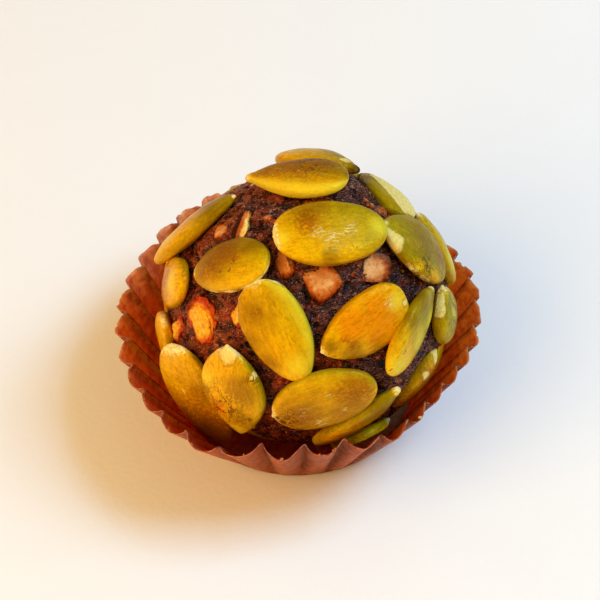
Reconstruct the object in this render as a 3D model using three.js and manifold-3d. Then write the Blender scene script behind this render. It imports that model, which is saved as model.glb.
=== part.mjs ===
// Energy ball in its paper case: a ball of date and nut dough, studded with nut pieces and bits
// of dried fruit, coated with hulled pumpkin seeds and set down in a fluted petit-four case.
// Millimetres, +Z up. The origin is the centre of the case's flat base, and -Y is the front.

import * as THREE from 'three';
import { mergeVertices } from 'three/addons/utils/BufferGeometryUtils.js';
import Module from 'manifold-3d';

const wasm = await Module();
wasm.setup();

// ---- Driving dimensions ------------------------------------------------------------------

const CASE = {
  baseRadius: 13.2,
  rimRadius: 19.4,
  rimCentre: new THREE.Vector2(0.2, -0.7),
  height: 13.2,
  wall: 0.4,            // measured along the radius
  flutes: 34,
  columnsPerFlute: 4,
  firstFlute: 7.5,      // bearing of the first lobe
  crowding: 4.5,        // degrees that the flutes wander from an even spacing
  crowdedFrom: 295,
  fluteDepth: 0.7,      // the lobes stand this far out of the mean wall, and the creases in
  frontDepth: 0.15,     // the flutes are this much deeper in front, and shallower behind
  lobeDrop: 0.4,        // a lobe's rim sits lower by this share of how far it stands out
  // How far the rim is out of round: millimetres, times round, bearing of the first bulge.
  waves: [[0.17, 1, 179], [0.27, 2, 74], [0.27, 3, 2], [0.3, 4, 10]],
};

const DOUGH = {
  radius: 15.2,
  lump: 0.22,           // height of the broad lumps, and how often they go round on X, Y and Z
  lumps: [5, 4, 4],
  shoulder: { dip: 0.7, height: 38, spread: 20 },   // the flatter zone below the blunt peak
  centre: new THREE.Vector3(1.3, -1.2, 15.4),
  detail: 5,
};

const CLEARANCE = 0.3;  // gap between pieces that touch

const SEED = { length: 12.6, width: 7.0, thickness: 2.4, rings: 5, sides: 8 };
// How fast a seed swells from its rounded back and narrows to its tip, seen from above and from
// the side: powers of the distance from either end.
const SEED_OUTLINE = { back: 0.5, tip: 0.72 };
const SEED_DOME = { back: 0.4, tip: 0.55 };

// The pocket in the dough under a seed: a larger seed with few, and so slightly wider, sides.
const POCKET = { rings: 4, sides: 6, growth: 0.9, widening: 1.1 };

// Balls down the middle of a seed that cover it: their radii as shares of the seed's width.
const COVER = { steps: [-1, -0.5, 0, 0.5, 1], middle: 0.5, end: 0.3 };

// A piece of nut or fruit: how high its middle stands over the dough and how deep its dents go.
const BIT = { stand: -0.3, dent: 0.22 };

const LOOKS = {
  paper: { color: 0x7a3418, roughness: 0.8 },
  dough: { color: 0x3a1a12, roughness: 0.7 },
  nut: { color: 0xc79a6a, roughness: 0.6 },
  fruit: { color: 0xd8541c, roughness: 0.6 },
};
const SEED_COLOURS = [0xb8a01c, 0xc09418, 0xa8a428, 0x8f9a30, 0xb58a1a];
const SEED_ROUGHNESS = 0.45;

// ---- Arrangement ---------------------------------------------------------------------------

// A seed's bearing goes round the ball from +X towards +Y and its height is measured up from
// the ball's equator. Turn swings the pointed end from due east up towards the top, tip lifts
// the pointed end off the dough and lean rolls the seed about its length. Angles are in
// degrees; length, width and stand, the height of the seed's middle over the dough, are in mm.
const PLACED_SEEDS = [
  { bearing: 82, height: 57, turn: 152, tip: 3, length: 10.6 },
  { bearing: 112, height: 78, turn: -36, tip: -5, stand: 1.0, length: 11.4 },
  { bearing: 302, height: 74, turn: 158, length: 12.0 },
  { bearing: 37, height: 46, turn: -12, tip: -4, lean: -6, stand: 0, length: 9.2, width: 6.0 },
  { bearing: 355, height: 45, turn: 98, tip: 6, length: 10.3, width: 6.2 },
  { bearing: 14, height: 19.6, turn: 78, lean: 6, stand: 0.1, length: 10.4, width: 6.0 },
  { bearing: 167, height: 36, turn: 98, lean: -17, tip: -4, stand: 0.8, length: 12.2, width: 6.4 },
  { bearing: 212.5, height: 52.4, turn: -133, lean: 6, tip: -8, stand: 0.7, length: 10.4, width: 6.2 },
  { bearing: 187, height: 20, turn: -125, tip: -6, stand: 0.3, length: 9.6, width: 5.6 },
  { bearing: 254, height: 37, turn: 126, tip: 5, stand: 1.0, length: 11.6, width: 6.7 },
  { bearing: 297, height: 37, turn: -167, lean: -8, stand: 0.9, length: 10.7, width: 6.5 },
  { bearing: 320.5, height: 23, turn: 18, lean: 20, tip: -6, stand: 0.9, length: 10.4, width: 6.0 },
  { bearing: 345, height: 13, turn: 66, length: 7.8, width: 5.4 },
  { bearing: 222, height: -6, turn: 115, lean: 20, tip: 2, stand: 0.9, length: 12.4, width: 7.0 },
  { bearing: 241, height: 9, turn: 103, stand: 1.1, length: 11.4, width: 7.0 },
  { bearing: 275.5, height: 10.3, turn: -162, length: 11.4, width: 6.8 },
  { bearing: 290.2, height: -7, turn: 46, lean: 20, tip: 6, stand: 0.1, length: 11.4, width: 5.4 },
  { bearing: 299, height: -30, turn: 14, lean: 8, stand: -0.7, length: 8.2, width: 5.0 },
  { bearing: 320.6, height: -7, turn: 40, lean: 8, tip: 4, stand: -0.4, length: 8.6, width: 4.8 },
  { bearing: 338, height: -16, turn: 62, stand: -0.7, length: 8.0, width: 5.0 },
  { bearing: 359, height: -12, turn: 70, stand: -0.4, length: 8.4, width: 5.0 },
  { bearing: 194, height: -8, turn: 80, stand: 0.4, length: 10.8, width: 6.2 },
  { bearing: 88, height: 17, turn: 6, stand: 0.1, length: 11.2, width: 6.2 },
  { bearing: 46, height: 2.5, turn: 204, stand: 0.1, length: 10.6, width: 6.2 },
  { bearing: 130.8, height: 3.2, turn: -19, stand: -0.1, length: 10.8, width: 6.0 },
  { bearing: 21, height: -14, turn: 84, stand: -0.1, length: 9.6, width: 5.6 },
  { bearing: 165, height: -10, turn: -56, stand: -0.1, length: 10.6, width: 6.0 },
  { bearing: 109, height: -13, turn: -62, stand: 0.4, length: 11.4, width: 6.6 },
  { bearing: 73, height: -13, turn: 42, stand: 0.3, length: 11.0, width: 6.2 },
];

// The rest of the coat: a band of seeds down inside the case, and one round under the ball.
// Spots are tried down a golden spiral from each band's top height to its bottom one, between
// its two bearings.
const FURTHER_SEEDS = {
  bands: [
    { tries: 1500, top: -15, bottom: -45, from: -10, to: 200, stand: -0.4 },
    { tries: 900, top: -48, bottom: -64, from: 0, to: 360, stand: -0.7 },
  ],
  length: 9.4,
  lengthSpread: 0.08,
  width: 5.8,
  chance: 11,
};

// Pieces of nut and dried fruit that show between the seeds, sunk in the dough, with their
// sizes along, across and through.
const PLACED_BITS = [
  { name: 'nut_piece_1', bearing: 279, height: 58, turn: 150, size: [6.0, 4.4, 2.4], look: 'nut' },
  { name: 'nut_piece_2', bearing: 320, height: 55, turn: 100, size: [4.6, 3.4, 2.0], look: 'nut' },
  { name: 'nut_piece_3', bearing: 246, height: 63, turn: 150, size: [3.8, 3.0, 2.0], look: 'nut' },
  { name: 'nut_piece_4', bearing: 181, height: 52, turn: -70, size: [2.6, 2.0, 1.8], look: 'nut' },
  { name: 'nut_sliver', bearing: 188, height: 62.5, turn: 152, size: [3.6, 1.3, 1.6], look: 'nut' },
  { name: 'nut_piece_5', bearing: 66, height: 34, turn: 30, size: [4.0, 3.0, 2.0], look: 'nut' },
  { name: 'nut_piece_6', bearing: 140, height: 30, turn: 100, size: [3.6, 3.0, 2.0], look: 'nut' },
  { name: 'fruit_piece_1', bearing: 215, height: 24, turn: 150, size: [4.4, 3.6, 2.0], look: 'fruit' },
  { name: 'fruit_piece_2', bearing: 232, height: 38, turn: -90, size: [2.6, 1.9, 1.8], look: 'fruit' },
  { name: 'fruit_piece_3', bearing: 203, height: 9, turn: -105, size: [3.6, 2.0, 1.8], look: 'fruit' },
  { name: 'fruit_piece_4', bearing: 112, height: 38, turn: 20, size: [3.8, 2.4, 1.8], look: 'fruit' },
];

const D = Math.PI / 180;
const GOLDEN_ANGLE = 180 * (3 - Math.sqrt(5));

// A repeatable stream of numbers from 0 to 1, for the unevenness of what repeats.
function numberStream(seed) {
  let state = seed;
  return () => {
    state = (state * 1664525 + 1013904223) % 4294967296;
    return state / 4294967296;
  };
}

// ---- Shared mesh helpers -------------------------------------------------------------------

function geometryOf(points, triangles) {
  const geometry = new THREE.BufferGeometry();
  geometry.setAttribute('position', new THREE.Float32BufferAttribute(points.flat(), 3));
  geometry.setIndex(triangles.flat());
  return geometry;
}

function toSolid(geometry) {
  const bare = geometry.clone();
  bare.deleteAttribute('normal');
  bare.deleteAttribute('uv');
  const merged = mergeVertices(bare, 1e-4);
  return new wasm.Manifold(new wasm.Mesh({
    numProp: 3,
    vertProperties: new Float32Array(merged.attributes.position.array),
    triVerts: new Uint32Array(merged.index.array),
  }));
}

function toGeometry(solid) {
  const mesh = solid.getMesh();
  const geometry = new THREE.BufferGeometry();
  geometry.setAttribute('position', new THREE.BufferAttribute(mesh.vertProperties, 3));
  geometry.setIndex(new THREE.BufferAttribute(mesh.triVerts, 1));
  return geometry;
}

// A closed skin through rings of points, from a pole, ring by ring, to the opposite pole.
function skinOverRings(startPole, rings, endPole) {
  const sides = rings[0].length;
  const points = [startPole, ...rings.flat(), endPole];
  const last = points.length - 1;
  const at = (ring, side) => 1 + ring * sides + (side % sides);
  const triangles = [];
  for (let side = 0; side < sides; side++) {
    triangles.push([0, at(0, side + 1), at(0, side)]);
    for (let ring = 0; ring + 1 < rings.length; ring++) {
      const [a, b] = [at(ring, side), at(ring, side + 1)];
      const [c, d] = [at(ring + 1, side + 1), at(ring + 1, side)];
      triangles.push([a, b, c], [a, c, d]);
    }
    triangles.push([last, at(rings.length - 1, side), at(rings.length - 1, side + 1)]);
  }
  return geometryOf(points, triangles);
}

// ---- Paper case ------------------------------------------------------------------------------

// Where one column of the case's wall stands. Along runs round the case in whole flutes, up
// runs from 0 at the base to 1 at the rim. A flute is a round lobe between two sharp creases.
function casePoint(along, up, inside) {
  const evenBearing = (along / CASE.flutes) * 360 + CASE.firstFlute;
  const wander = CASE.crowding * Math.cos((evenBearing - CASE.crowdedFrom) * D);
  const bearing = (evenBearing + wander) * D;
  let rim = CASE.rimRadius;
  for (const [size, times, from] of CASE.waves) {
    rim += size * Math.cos(times * (bearing - from * D));
  }
  const depth = CASE.fluteDepth - CASE.frontDepth * Math.sin(bearing);
  const lobe = (2 * Math.abs(Math.cos(along * Math.PI)) - 1) * depth * up;
  const radius = THREE.MathUtils.lerp(CASE.baseRadius, rim, up) + lobe - (inside ? CASE.wall : 0);
  const x = CASE.rimCentre.x * up + radius * Math.cos(bearing);
  const y = CASE.rimCentre.y * up + radius * Math.sin(bearing);
  const foot = inside ? CASE.wall * (1 - up) : 0;
  return [x, y, foot + up * CASE.height - CASE.lobeDrop * lobe];
}

function caseGeometry() {
  const { flutes, columnsPerFlute } = CASE;
  const columns = Array.from({ length: flutes * columnsPerFlute }, (_, i) => i / columnsPerFlute);
  const ring = (up, inside) => columns.map((along) => casePoint(along, up, inside));
  const outside = [0, 1].map((up) => ring(up, false));
  const inside = [1, 0].map((up) => ring(up, true));
  return skinOverRings([0, 0, 0], [...outside, ...inside], [0, 0, CASE.wall]);
}

// ---- Dough -------------------------------------------------------------------------------------

// The ball's radius at a height angle, in degrees: round below, with flattened shoulders that
// lead up to a blunt peak.
function doughRadius(height) {
  const { dip, height: middle, spread } = DOUGH.shoulder;
  return DOUGH.radius - dip * Math.exp(-(((height - middle) / spread) ** 2));
}

// The hand-rolled ball, with broad lumps and a flat where it stands.
function doughSolid() {
  const geometry = new THREE.IcosahedronGeometry(1, DOUGH.detail);
  const position = geometry.attributes.position;
  const spot = new THREE.Vector3();
  const floor = CASE.wall + CLEARANCE - DOUGH.centre.z;
  const [a, b, c] = DOUGH.lumps;
  for (let i = 0; i < position.count; i++) {
    spot.fromBufferAttribute(position, i).normalize();
    const swell = Math.sin(a * spot.x + 1) * Math.sin(b * spot.y) * Math.cos(c * spot.z + spot.x);
    spot.multiplyScalar(doughRadius(Math.asin(spot.z) / D) + DOUGH.lump * swell);
    spot.z = Math.max(spot.z, floor);
    spot.add(DOUGH.centre);
    position.setXYZ(i, spot.x, spot.y, spot.z);
  }
  return toSolid(geometry);
}

// ---- Pumpkin seeds -----------------------------------------------------------------------------

// A seed's share of its full size at s, which runs from -1 at the back to 1 at the tip.
function swellAt(s, { back, tip }) {
  const grow = (at) => (1 + at) ** back * (1 - at) ** tip;
  return grow(s) / grow((back - tip) / (back + tip));
}

// A flat seed along X, its tip at +X and its faces up and down: rounded at the back, widest
// behind the middle and drawn to a point in front.
function seedGeometry({ length, width, thickness, rings, sides }) {
  const sections = [];
  for (let i = 1; i <= rings; i++) {
    const s = -Math.cos((i / (rings + 1)) * Math.PI);
    const halfWidth = (width / 2) * swellAt(s, SEED_OUTLINE);
    const halfDepth = (thickness / 2) * swellAt(s, SEED_DOME);
    sections.push(Array.from({ length: sides }, (_, j) => {
      const angle = (j / sides) * 2 * Math.PI;
      return [s * length / 2, halfWidth * Math.cos(angle), halfDepth * Math.sin(angle)];
    }));
  }
  return skinOverRings([-length / 2, 0, 0], sections, [length / 2, 0, 0]);
}

// The frame of a piece that lies on the dough: X along it, Y across it, Z outwards.
function lyingOn({ bearing, height, turn, lean = 0, tip = 0, stand = 0.7 }) {
  const [b, h] = [bearing * D, height * D];
  const out = new THREE.Vector3(Math.cos(h) * Math.cos(b), Math.cos(h) * Math.sin(b), Math.sin(h));
  const east = new THREE.Vector3(-Math.sin(b), Math.cos(b), 0);
  const north = new THREE.Vector3().crossVectors(out, east);
  const along = east.clone().multiplyScalar(Math.cos(turn * D));
  along.addScaledVector(north, Math.sin(turn * D));
  const across = new THREE.Vector3().crossVectors(out, along);
  const frame = new THREE.Matrix4().makeBasis(along, across, out);
  frame.multiply(new THREE.Matrix4().makeRotationY(-tip * D));
  frame.multiply(new THREE.Matrix4().makeRotationX(lean * D));
  return frame.setPosition(out.multiplyScalar(doughRadius(height) + stand).add(DOUGH.centre));
}

// The balls that cover a seed where it lies.
function coverOf(seed) {
  const frame = lyingOn(seed);
  const { steps, middle, end } = COVER;
  const reach = seed.length / 2 - end * seed.width;
  return steps.map((step) => ({
    spot: new THREE.Vector3(step * reach, 0, 0).applyMatrix4(frame),
    radius: seed.width * THREE.MathUtils.lerp(middle, end, step * step),
  }));
}

function clears(seed, other) {
  const theirs = coverOf(other);
  return coverOf(seed).every((ball) => theirs.every((their) => (
    ball.spot.distanceTo(their.spot) > ball.radius + their.radius + CLEARANCE)));
}

// Every seed of the coat: the placed ones, then each further one that clears all before it.
function coatOfSeeds() {
  const seeds = PLACED_SEEDS.map((place) => ({ ...SEED, ...place }));
  const { bands, length, lengthSpread, width } = FURTHER_SEEDS;
  const chance = numberStream(FURTHER_SEEDS.chance);
  for (const { tries, top, bottom, from, to, stand } of bands) {
    for (let i = 0; i < tries; i++) {
      const seed = {
        ...SEED,
        stand,
        width,
        bearing: from + ((i * GOLDEN_ANGLE) % (to - from)),
        height: THREE.MathUtils.lerp(top, bottom, i / tries),
        turn: 360 * chance(),
        length: length * (1 + lengthSpread * (2 * chance() - 1)),
      };
      if (seeds.every((other) => clears(seed, other))) {
        seeds.push(seed);
      }
    }
  }
  return seeds;
}

// ---- Nut and fruit pieces ------------------------------------------------------------------------

// A broken lump: a faceted egg whose corners are pushed in by a repeatable chance.
function bitGeometry([along, across, through], growth, chance) {
  const geometry = new THREE.IcosahedronGeometry(1, 1);
  for (const name of ['normal', 'uv']) {
    geometry.deleteAttribute(name);
  }
  const lump = mergeVertices(geometry, 1e-3);
  const position = lump.attributes.position;
  for (let i = 0; i < position.count; i++) {
    const push = 1 - BIT.dent * chance();
    position.setXYZ(i,
      position.getX(i) * (push * along / 2 + growth),
      position.getY(i) * (push * across / 2 + growth),
      position.getZ(i) * (push * through / 2 + growth));
  }
  return lump;
}

// ---- Assembly ----------------------------------------------------------------------------------

const group = new THREE.Group();

function addPiece(name, geometry, look, frame = new THREE.Matrix4()) {
  const mesh = new THREE.Mesh(geometry, new THREE.MeshStandardMaterial({ ...look, metalness: 0 }));
  mesh.name = name;
  frame.decompose(mesh.position, mesh.quaternion, mesh.scale);
  group.add(mesh);
}

addPiece('paper_case', caseGeometry(), LOOKS.paper);

let dough = doughSolid();
coatOfSeeds().forEach((seed, index) => {
  const frame = lyingOn(seed);
  const name = `pumpkin_seed_${String(index + 1).padStart(2, '0')}`;
  const look = { color: SEED_COLOURS[index % SEED_COLOURS.length], roughness: SEED_ROUGHNESS };
  addPiece(name, seedGeometry(seed), look, frame);
  const pocket = seedGeometry({
    length: seed.length + POCKET.growth,
    width: (seed.width + POCKET.growth) * POCKET.widening,
    thickness: (seed.thickness + POCKET.growth) * POCKET.widening,
    rings: POCKET.rings,
    sides: POCKET.sides,
  });
  dough = dough.subtract(toSolid(pocket.applyMatrix4(frame)));
});

PLACED_BITS.forEach((bit, index) => {
  const frame = lyingOn({ ...bit, stand: BIT.stand });
  const shape = (growth) => bitGeometry(bit.size, growth, numberStream(index + 1));
  addPiece(bit.name, shape(0), LOOKS[bit.look], frame);
  dough = dough.subtract(toSolid(shape(CLEARANCE).applyMatrix4(frame)));
});

addPiece('dough_ball', toGeometry(dough), LOOKS.dough);

export default group;
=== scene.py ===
"""Looks of an energy ball: a ball of date and nut dough, coated with hulled pumpkin seeds, in a
fluted paper case. The file is laid out as a Blender add-on: each operator makes one kind of piece.

Shapes are worked out in millimetres, in the frame of the CAD model, and stored in metres.
"""

import math

import bpy
import numpy as np
from bpy.props import FloatProperty, FloatVectorProperty, IntProperty, PointerProperty
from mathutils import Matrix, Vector, noise
from mathutils.bvhtree import BVHTree


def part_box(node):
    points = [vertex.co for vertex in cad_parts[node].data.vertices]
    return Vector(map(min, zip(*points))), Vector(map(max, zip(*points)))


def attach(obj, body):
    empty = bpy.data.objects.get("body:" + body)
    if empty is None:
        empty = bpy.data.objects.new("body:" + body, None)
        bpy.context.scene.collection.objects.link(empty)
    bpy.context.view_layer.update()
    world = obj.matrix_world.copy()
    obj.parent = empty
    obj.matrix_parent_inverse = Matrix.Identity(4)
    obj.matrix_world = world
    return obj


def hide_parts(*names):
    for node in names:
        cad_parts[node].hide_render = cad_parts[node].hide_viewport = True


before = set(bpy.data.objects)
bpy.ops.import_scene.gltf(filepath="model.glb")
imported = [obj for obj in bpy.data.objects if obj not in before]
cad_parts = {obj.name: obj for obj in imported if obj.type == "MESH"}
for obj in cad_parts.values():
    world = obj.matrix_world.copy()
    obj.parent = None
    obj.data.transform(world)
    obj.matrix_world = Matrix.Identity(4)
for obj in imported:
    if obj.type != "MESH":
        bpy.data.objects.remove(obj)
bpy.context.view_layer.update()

bl_info = {
    "name": "Energy Ball",
    "version": (1, 0, 0),
    "blender": (4, 5, 0),
    "location": "3D View > Sidebar > Energy Ball",
    "description": "Makes a pumpkin seed energy ball in its paper case",
    "category": "Object",
}

MM = 0.001


# ---- Settings ----------------------------------------------------------------------------------


def srgb(code):
    """A colour written as 0xRRGGBB, as the linear values that Blender works with."""
    parts = [(code >> shift & 255) / 255 for shift in (16, 8, 0)]
    return tuple(p / 12.92 if p <= 0.04045 else ((p + 0.055) / 1.055) ** 2.4 for p in parts)


def colour(name, code, description):
    """A setting for a colour, whose default is written as 0xRRGGBB."""
    return FloatVectorProperty(
        name=name, description=description, default=srgb(code), subtype="COLOR", min=0, max=1
    )


def length(name, default_mm, description):
    """A setting for a length, whose default is in mm."""
    return FloatProperty(
        name=name,
        description=description,
        default=default_mm * MM,
        min=0,
        unit="LENGTH",
        subtype="DISTANCE",
        precision=5,
    )


class CaseSettings(bpy.types.PropertyGroup):
    thickness: length("Paper", 0.12, "Thickness of the paper")
    wear: length("Rim wear", 0.16, "How far the rim is worn and nicked")
    crinkle: length("Crinkle", 0.06, "Height of the crinkles in the wall")
    sway: length("Sway", 0.3, "How far the flutes lean to one side or the other")
    tuck: length("Tuck", 0.35, "How far the paper is tucked in beside each crease")
    uneven: FloatProperty(name="Uneven", description="Spread of the flutes' depths", default=0.55)
    # Inside is painted light: brighter and warmer than the outside, as the glow of light shining
    # through the paper.
    inside: colour("Inside", 0xFFB47C, "Colour of the paper inside the case")
    outside: colour("Outside", 0xA84A14, "Colour of the paper outside the case")
    # Folds is the colour of the painted shade beside the creases.
    fold: colour("Folds", 0x481406, "Colour down in the creases")


class DoughSettings(bpy.types.PropertyGroup):
    lumps: length("Lumps", 0.34, "Height of the lumps of dough")
    chunks: length("Chunks", 0.24, "How far the chopped nuts stand out under the paste")
    wrinkles: length("Wrinkles", 0.26, "Height of the fine date skin wrinkles")
    # Deep is painted shade down in the creases, and the colour of the dark grit.
    deep: colour("Deep", 0x160404, "Colour in the creases")
    date: colour("Date", 0x78280C, "Colour of the date paste")
    # Raised is the paler orange of the thin raised ridges: partly the paste's own, partly painted
    # light.
    raised: colour("Raised", 0xE0701C, "Colour of the thin raised edges")
    nut: colour("Nut bits", 0xE88018, "Colour of the chopped nut under the paste")


class SeedSettings(bpy.types.PropertyGroup):
    along: IntProperty(name="Along", description="Rings along a seed", default=76, min=12)
    around: IntProperty(name="Around", description="Points round a seed", default=60, min=12)
    relief: length("Relief", 0.06, "Height of the skin's wrinkles")
    nub: length("Nub", 0.5, "Radius of the nub at the tip")
    gold: colour("Gold", 0xF2B400, "Ripe golden skin")
    green: colour("Green", 0x9A8E04, "Olive green skin")
    toast: colour("Toast", 0xA85402, "Toasted brown skin")
    flesh: colour("Flesh", 0xF4DE92, "Cream flesh where the skin has peeled")


class BitSettings(bpy.types.PropertyGroup):
    crumbs: IntProperty(name="Crumbs", description="Crumbs in the dough", default=520, min=0)
    rim_crumbs: IntProperty(name="Rim crumbs", description="Crumbs on the rim", default=12, min=0)
    nut: colour("Nut", 0xD08A4C, "Flesh of the nut pieces")
    nut_skin: colour("Nut skin", 0x963C00, "Skin and stains of the nut pieces")
    fruit: colour("Fruit", 0xD65000, "Dried fruit")
    fruit_core: colour("Fruit core", 0xFFC22E, "Paler middle of the dried fruit")


class StageSettings(bpy.types.PropertyGroup):
    elevation: FloatProperty(
        name="Elevation",
        description="Height of the camera above the horizon",
        default=math.radians(50),
        subtype="ANGLE",
    )
    distance: length("Distance", 240, "From the camera to the point it aims at")
    lens: FloatProperty(name="Lens", description="Focal length in mm", default=127.6, min=1)
    key: FloatProperty(name="Key light", description="Power of the warm light", default=1.11)
    fill: FloatProperty(name="Fill light", description="Power of the cool light", default=1.45)
    front: FloatProperty(name="Front light", description="Power of the low front light", default=0.08)
    sky: FloatProperty(name="Sky", description="Strength of the light all round", default=0.44)
    warm: colour("Warm", 0xFFDC9A, "Colour of the warm light")
    cool: colour("Cool", 0x9AD2FF, "Colour of the cool light")
    glow: colour("Glow", 0xFFDCB0, "Colour of the light all round")
    floor: colour("Floor", 0xF6F4F0, "Colour of the floor")


# ---- Reading the CAD model -----------------------------------------------------------------------


def cad_points(node):
    """The different corner points of a CAD node, in mm."""
    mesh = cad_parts[node].data
    points = np.empty(len(mesh.vertices) * 3)
    mesh.vertices.foreach_get("co", points)
    return np.unique(np.round(points.reshape(-1, 3) / MM, 4), axis=0)


FIT_ROUNDS = 8
# How far inside the fitted ball a point may lie and still count as on it, in mm.
FIT_SLACK = 0.1


def fit_ball(points):
    """The centre of the ball that the outermost of these points lie on."""
    kept = points
    for _ in range(FIT_ROUNDS):
        matrix = np.c_[2 * kept, np.ones(len(kept))]
        answer = np.linalg.lstsq(matrix, (kept**2).sum(1), rcond=None)[0]
        centre = answer[:3]
        radius = math.sqrt(answer[3] + centre @ centre)
        kept = points[np.linalg.norm(points - centre, axis=1) > radius - FIT_SLACK]
    return centre


class Ball:
    """The dough ball of the CAD model: its centre, and its radius at any height angle."""

    heights = np.arange(-90, 91, 9)
    bearings = np.linspace(0, 2 * math.pi, 48, endpoint=False)
    # The percentile of the radii round a level that passes over its pockets.
    level_with_most = 80

    def __init__(self):
        self.centre = fit_ball(cad_points("dough_ball"))
        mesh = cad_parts["dough_ball"].data
        corners = [v.co / MM for v in mesh.vertices]
        tree = BVHTree.FromPolygons(corners, [p.vertices[:] for p in mesh.polygons])
        self.radii = [self.radius_round(tree, math.radians(height)) for height in self.heights]

    def radius_round(self, tree, height):
        """The radius that most of the ball has at this height, its pockets left out."""
        found = []
        for bearing in self.bearings:
            flat = math.cos(height)
            way = Vector((flat * math.cos(bearing), flat * math.sin(bearing), math.sin(height)))
            found.append(tree.ray_cast(Vector(self.centre), way)[3])
        return np.percentile(found, self.level_with_most)

    def radius(self, ways):
        """The radius in each of these directions."""
        return np.interp(np.degrees(np.arcsin(ways[:, 2])), self.heights, self.radii)


# The share of a seed's and of a bit's length, width and thickness that the dough keeps clear of.
SEED_GRIP = (1, 1, 1)
BIT_GRIP = (0.5, 0.5, 0.6)


class Lie:
    """How a seed or a bit lies: its middle, its length, width and thickness, and its own axes.

    The axes point along it to its narrow end, across it and out of the ball.
    """

    def __init__(self, node, ball):
        self.grip = SEED_GRIP if "seed" in node else BIT_GRIP
        points = cad_points(node)
        along, across, out = np.linalg.svd(points - points.mean(0))[2]
        out = out * np.sign(out @ (points.mean(0) - ball.centre))
        place = (points - points.mean(0)) @ np.array([along, across, out]).T
        front = np.abs(place[place[:, 0] > 0.3 * place[:, 0].max(), 1]).mean()
        back = np.abs(place[place[:, 0] < 0.3 * place[:, 0].min(), 1]).mean()
        if front > back:
            along = -along
        self.axes = np.array([along, np.cross(out, along), out])
        place = (points - points.mean(0)) @ self.axes.T
        self.size = place.max(0) - place.min(0)
        self.middle = points.mean(0) + (place.max(0) + place.min(0)) / 2 @ self.axes

    def to_frame(self, points):
        """Points in its own axes, as they are in the CAD frame."""
        return self.middle + points @ self.axes

    def to_own(self, points):
        """Points in the CAD frame, as they are in its own axes."""
        return (points - self.middle) @ self.axes.T


def nodes_named(start):
    """The CAD nodes whose names start with this, in order."""
    return sorted(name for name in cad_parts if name.startswith(start))


# ---- Shapes --------------------------------------------------------------------------------------


def noise_at(points, size, seed=0.0, octaves=1):
    """Smooth noise, about -1 to 1, whose bumps are about this size, at each of these points."""
    shift = Vector((seed * 3.7 + 11.3, seed * 5.1 + 4.9, seed * 7.3 + 8.1))
    scale = 1 / size
    return np.array(
        [noise.fractal(Vector(p) * scale + shift, 1.0, 2.1, octaves) for p in points]
    )


# Three lots of large factors, which turn a cell's middle into numbers as good as chance.
SCATTER = [[127.1, 269.5, 113.5], [311.7, 183.3, 271.9], [74.7, 246.1, 124.6]]
SCATTER_SCALE = 437.58


def cells_at(points, size):
    """Uneven cells of this size: how far in from its cell's edge each point is, as a share of the
    size, and three numbers from 0 to 1 that are the cell's own."""
    inward, middles = [], []
    for p in points:
        near, spots = noise.voronoi(Vector(p) / size)
        inward.append(near[1] - near[0])
        middles.append(spots[0])
    mixed = np.sin(np.array(middles) @ SCATTER)
    return np.array(inward), np.modf(np.abs(mixed * SCATTER_SCALE))[0]


def smooth_step(value, low, high):
    """0 below low and 1 above high, with a smooth rise between."""
    t = np.clip((value - low) / (high - low), 0, 1)
    return t * t * (3 - 2 * t)


def round_grid(count):
    """A cube of this many squares a side, blown up to a ball: its unit points and its quads."""
    line = np.tan(np.linspace(-1, 1, count + 1) * math.pi / 4)
    a, b = np.meshgrid(line, line, indexing="ij")
    a, b, one = a.ravel(), b.ravel(), np.ones(a.size)
    sides = [(one, a, b), (-one, b, a), (b, one, a), (a, -one, b), (a, b, one), (b, a, -one)]
    points = np.concatenate([np.stack(side, axis=1) for side in sides])
    index = np.arange((count + 1) ** 2).reshape(count + 1, count + 1)
    quad = np.stack([index[:-1, :-1], index[1:, :-1], index[1:, 1:], index[:-1, 1:]], axis=-1)
    quads = np.concatenate([quad.reshape(-1, 4) + k * index.size for k in range(6)])
    _, first, same = np.unique(np.round(points, 6), axis=0, return_index=True, return_inverse=True)
    points = points[first]
    return points / np.linalg.norm(points, axis=1, keepdims=True), same.ravel()[quads]


def ringed_faces(rings, sides):
    """Faces over rings of points between two poles. The poles are the last two points."""
    index = np.arange(rings * sides).reshape(rings, sides)
    turned = np.roll(index, -1, axis=1)
    quads = np.stack([index[:-1], turned[:-1], turned[1:], index[1:]], axis=-1).reshape(-1, 4)
    start, end = rings * sides, rings * sides + 1
    faces = [list(map(int, quad)) for quad in quads]
    faces += [[start, int(b), int(a)] for a, b in zip(index[0], turned[0])]
    faces += [[end, int(a), int(b)] for a, b in zip(index[-1], turned[-1])]
    return faces


def new_piece(name, points, faces, material, values=None):
    """A piece that rides on the part, from points in mm, its faces, and values at its points."""
    mesh = bpy.data.meshes.new(name)
    mesh.from_pydata((np.asarray(points) * MM).tolist(), [], [list(map(int, f)) for f in faces])
    for key, value in (values or {}).items():
        value = np.asarray(value, dtype=np.float32)
        kind, field = ("FLOAT", "value") if value.ndim == 1 else ("FLOAT_VECTOR", "vector")
        mesh.attributes.new(key, kind, "POINT").data.foreach_set(field, value.ravel())
    mesh.materials.append(material)
    mesh.shade_smooth()
    mesh.update()
    piece = bpy.data.objects.new(name, mesh)
    bpy.context.scene.collection.objects.link(piece)
    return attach(piece, "root")


# ---- Materials -----------------------------------------------------------------------------------


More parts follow.
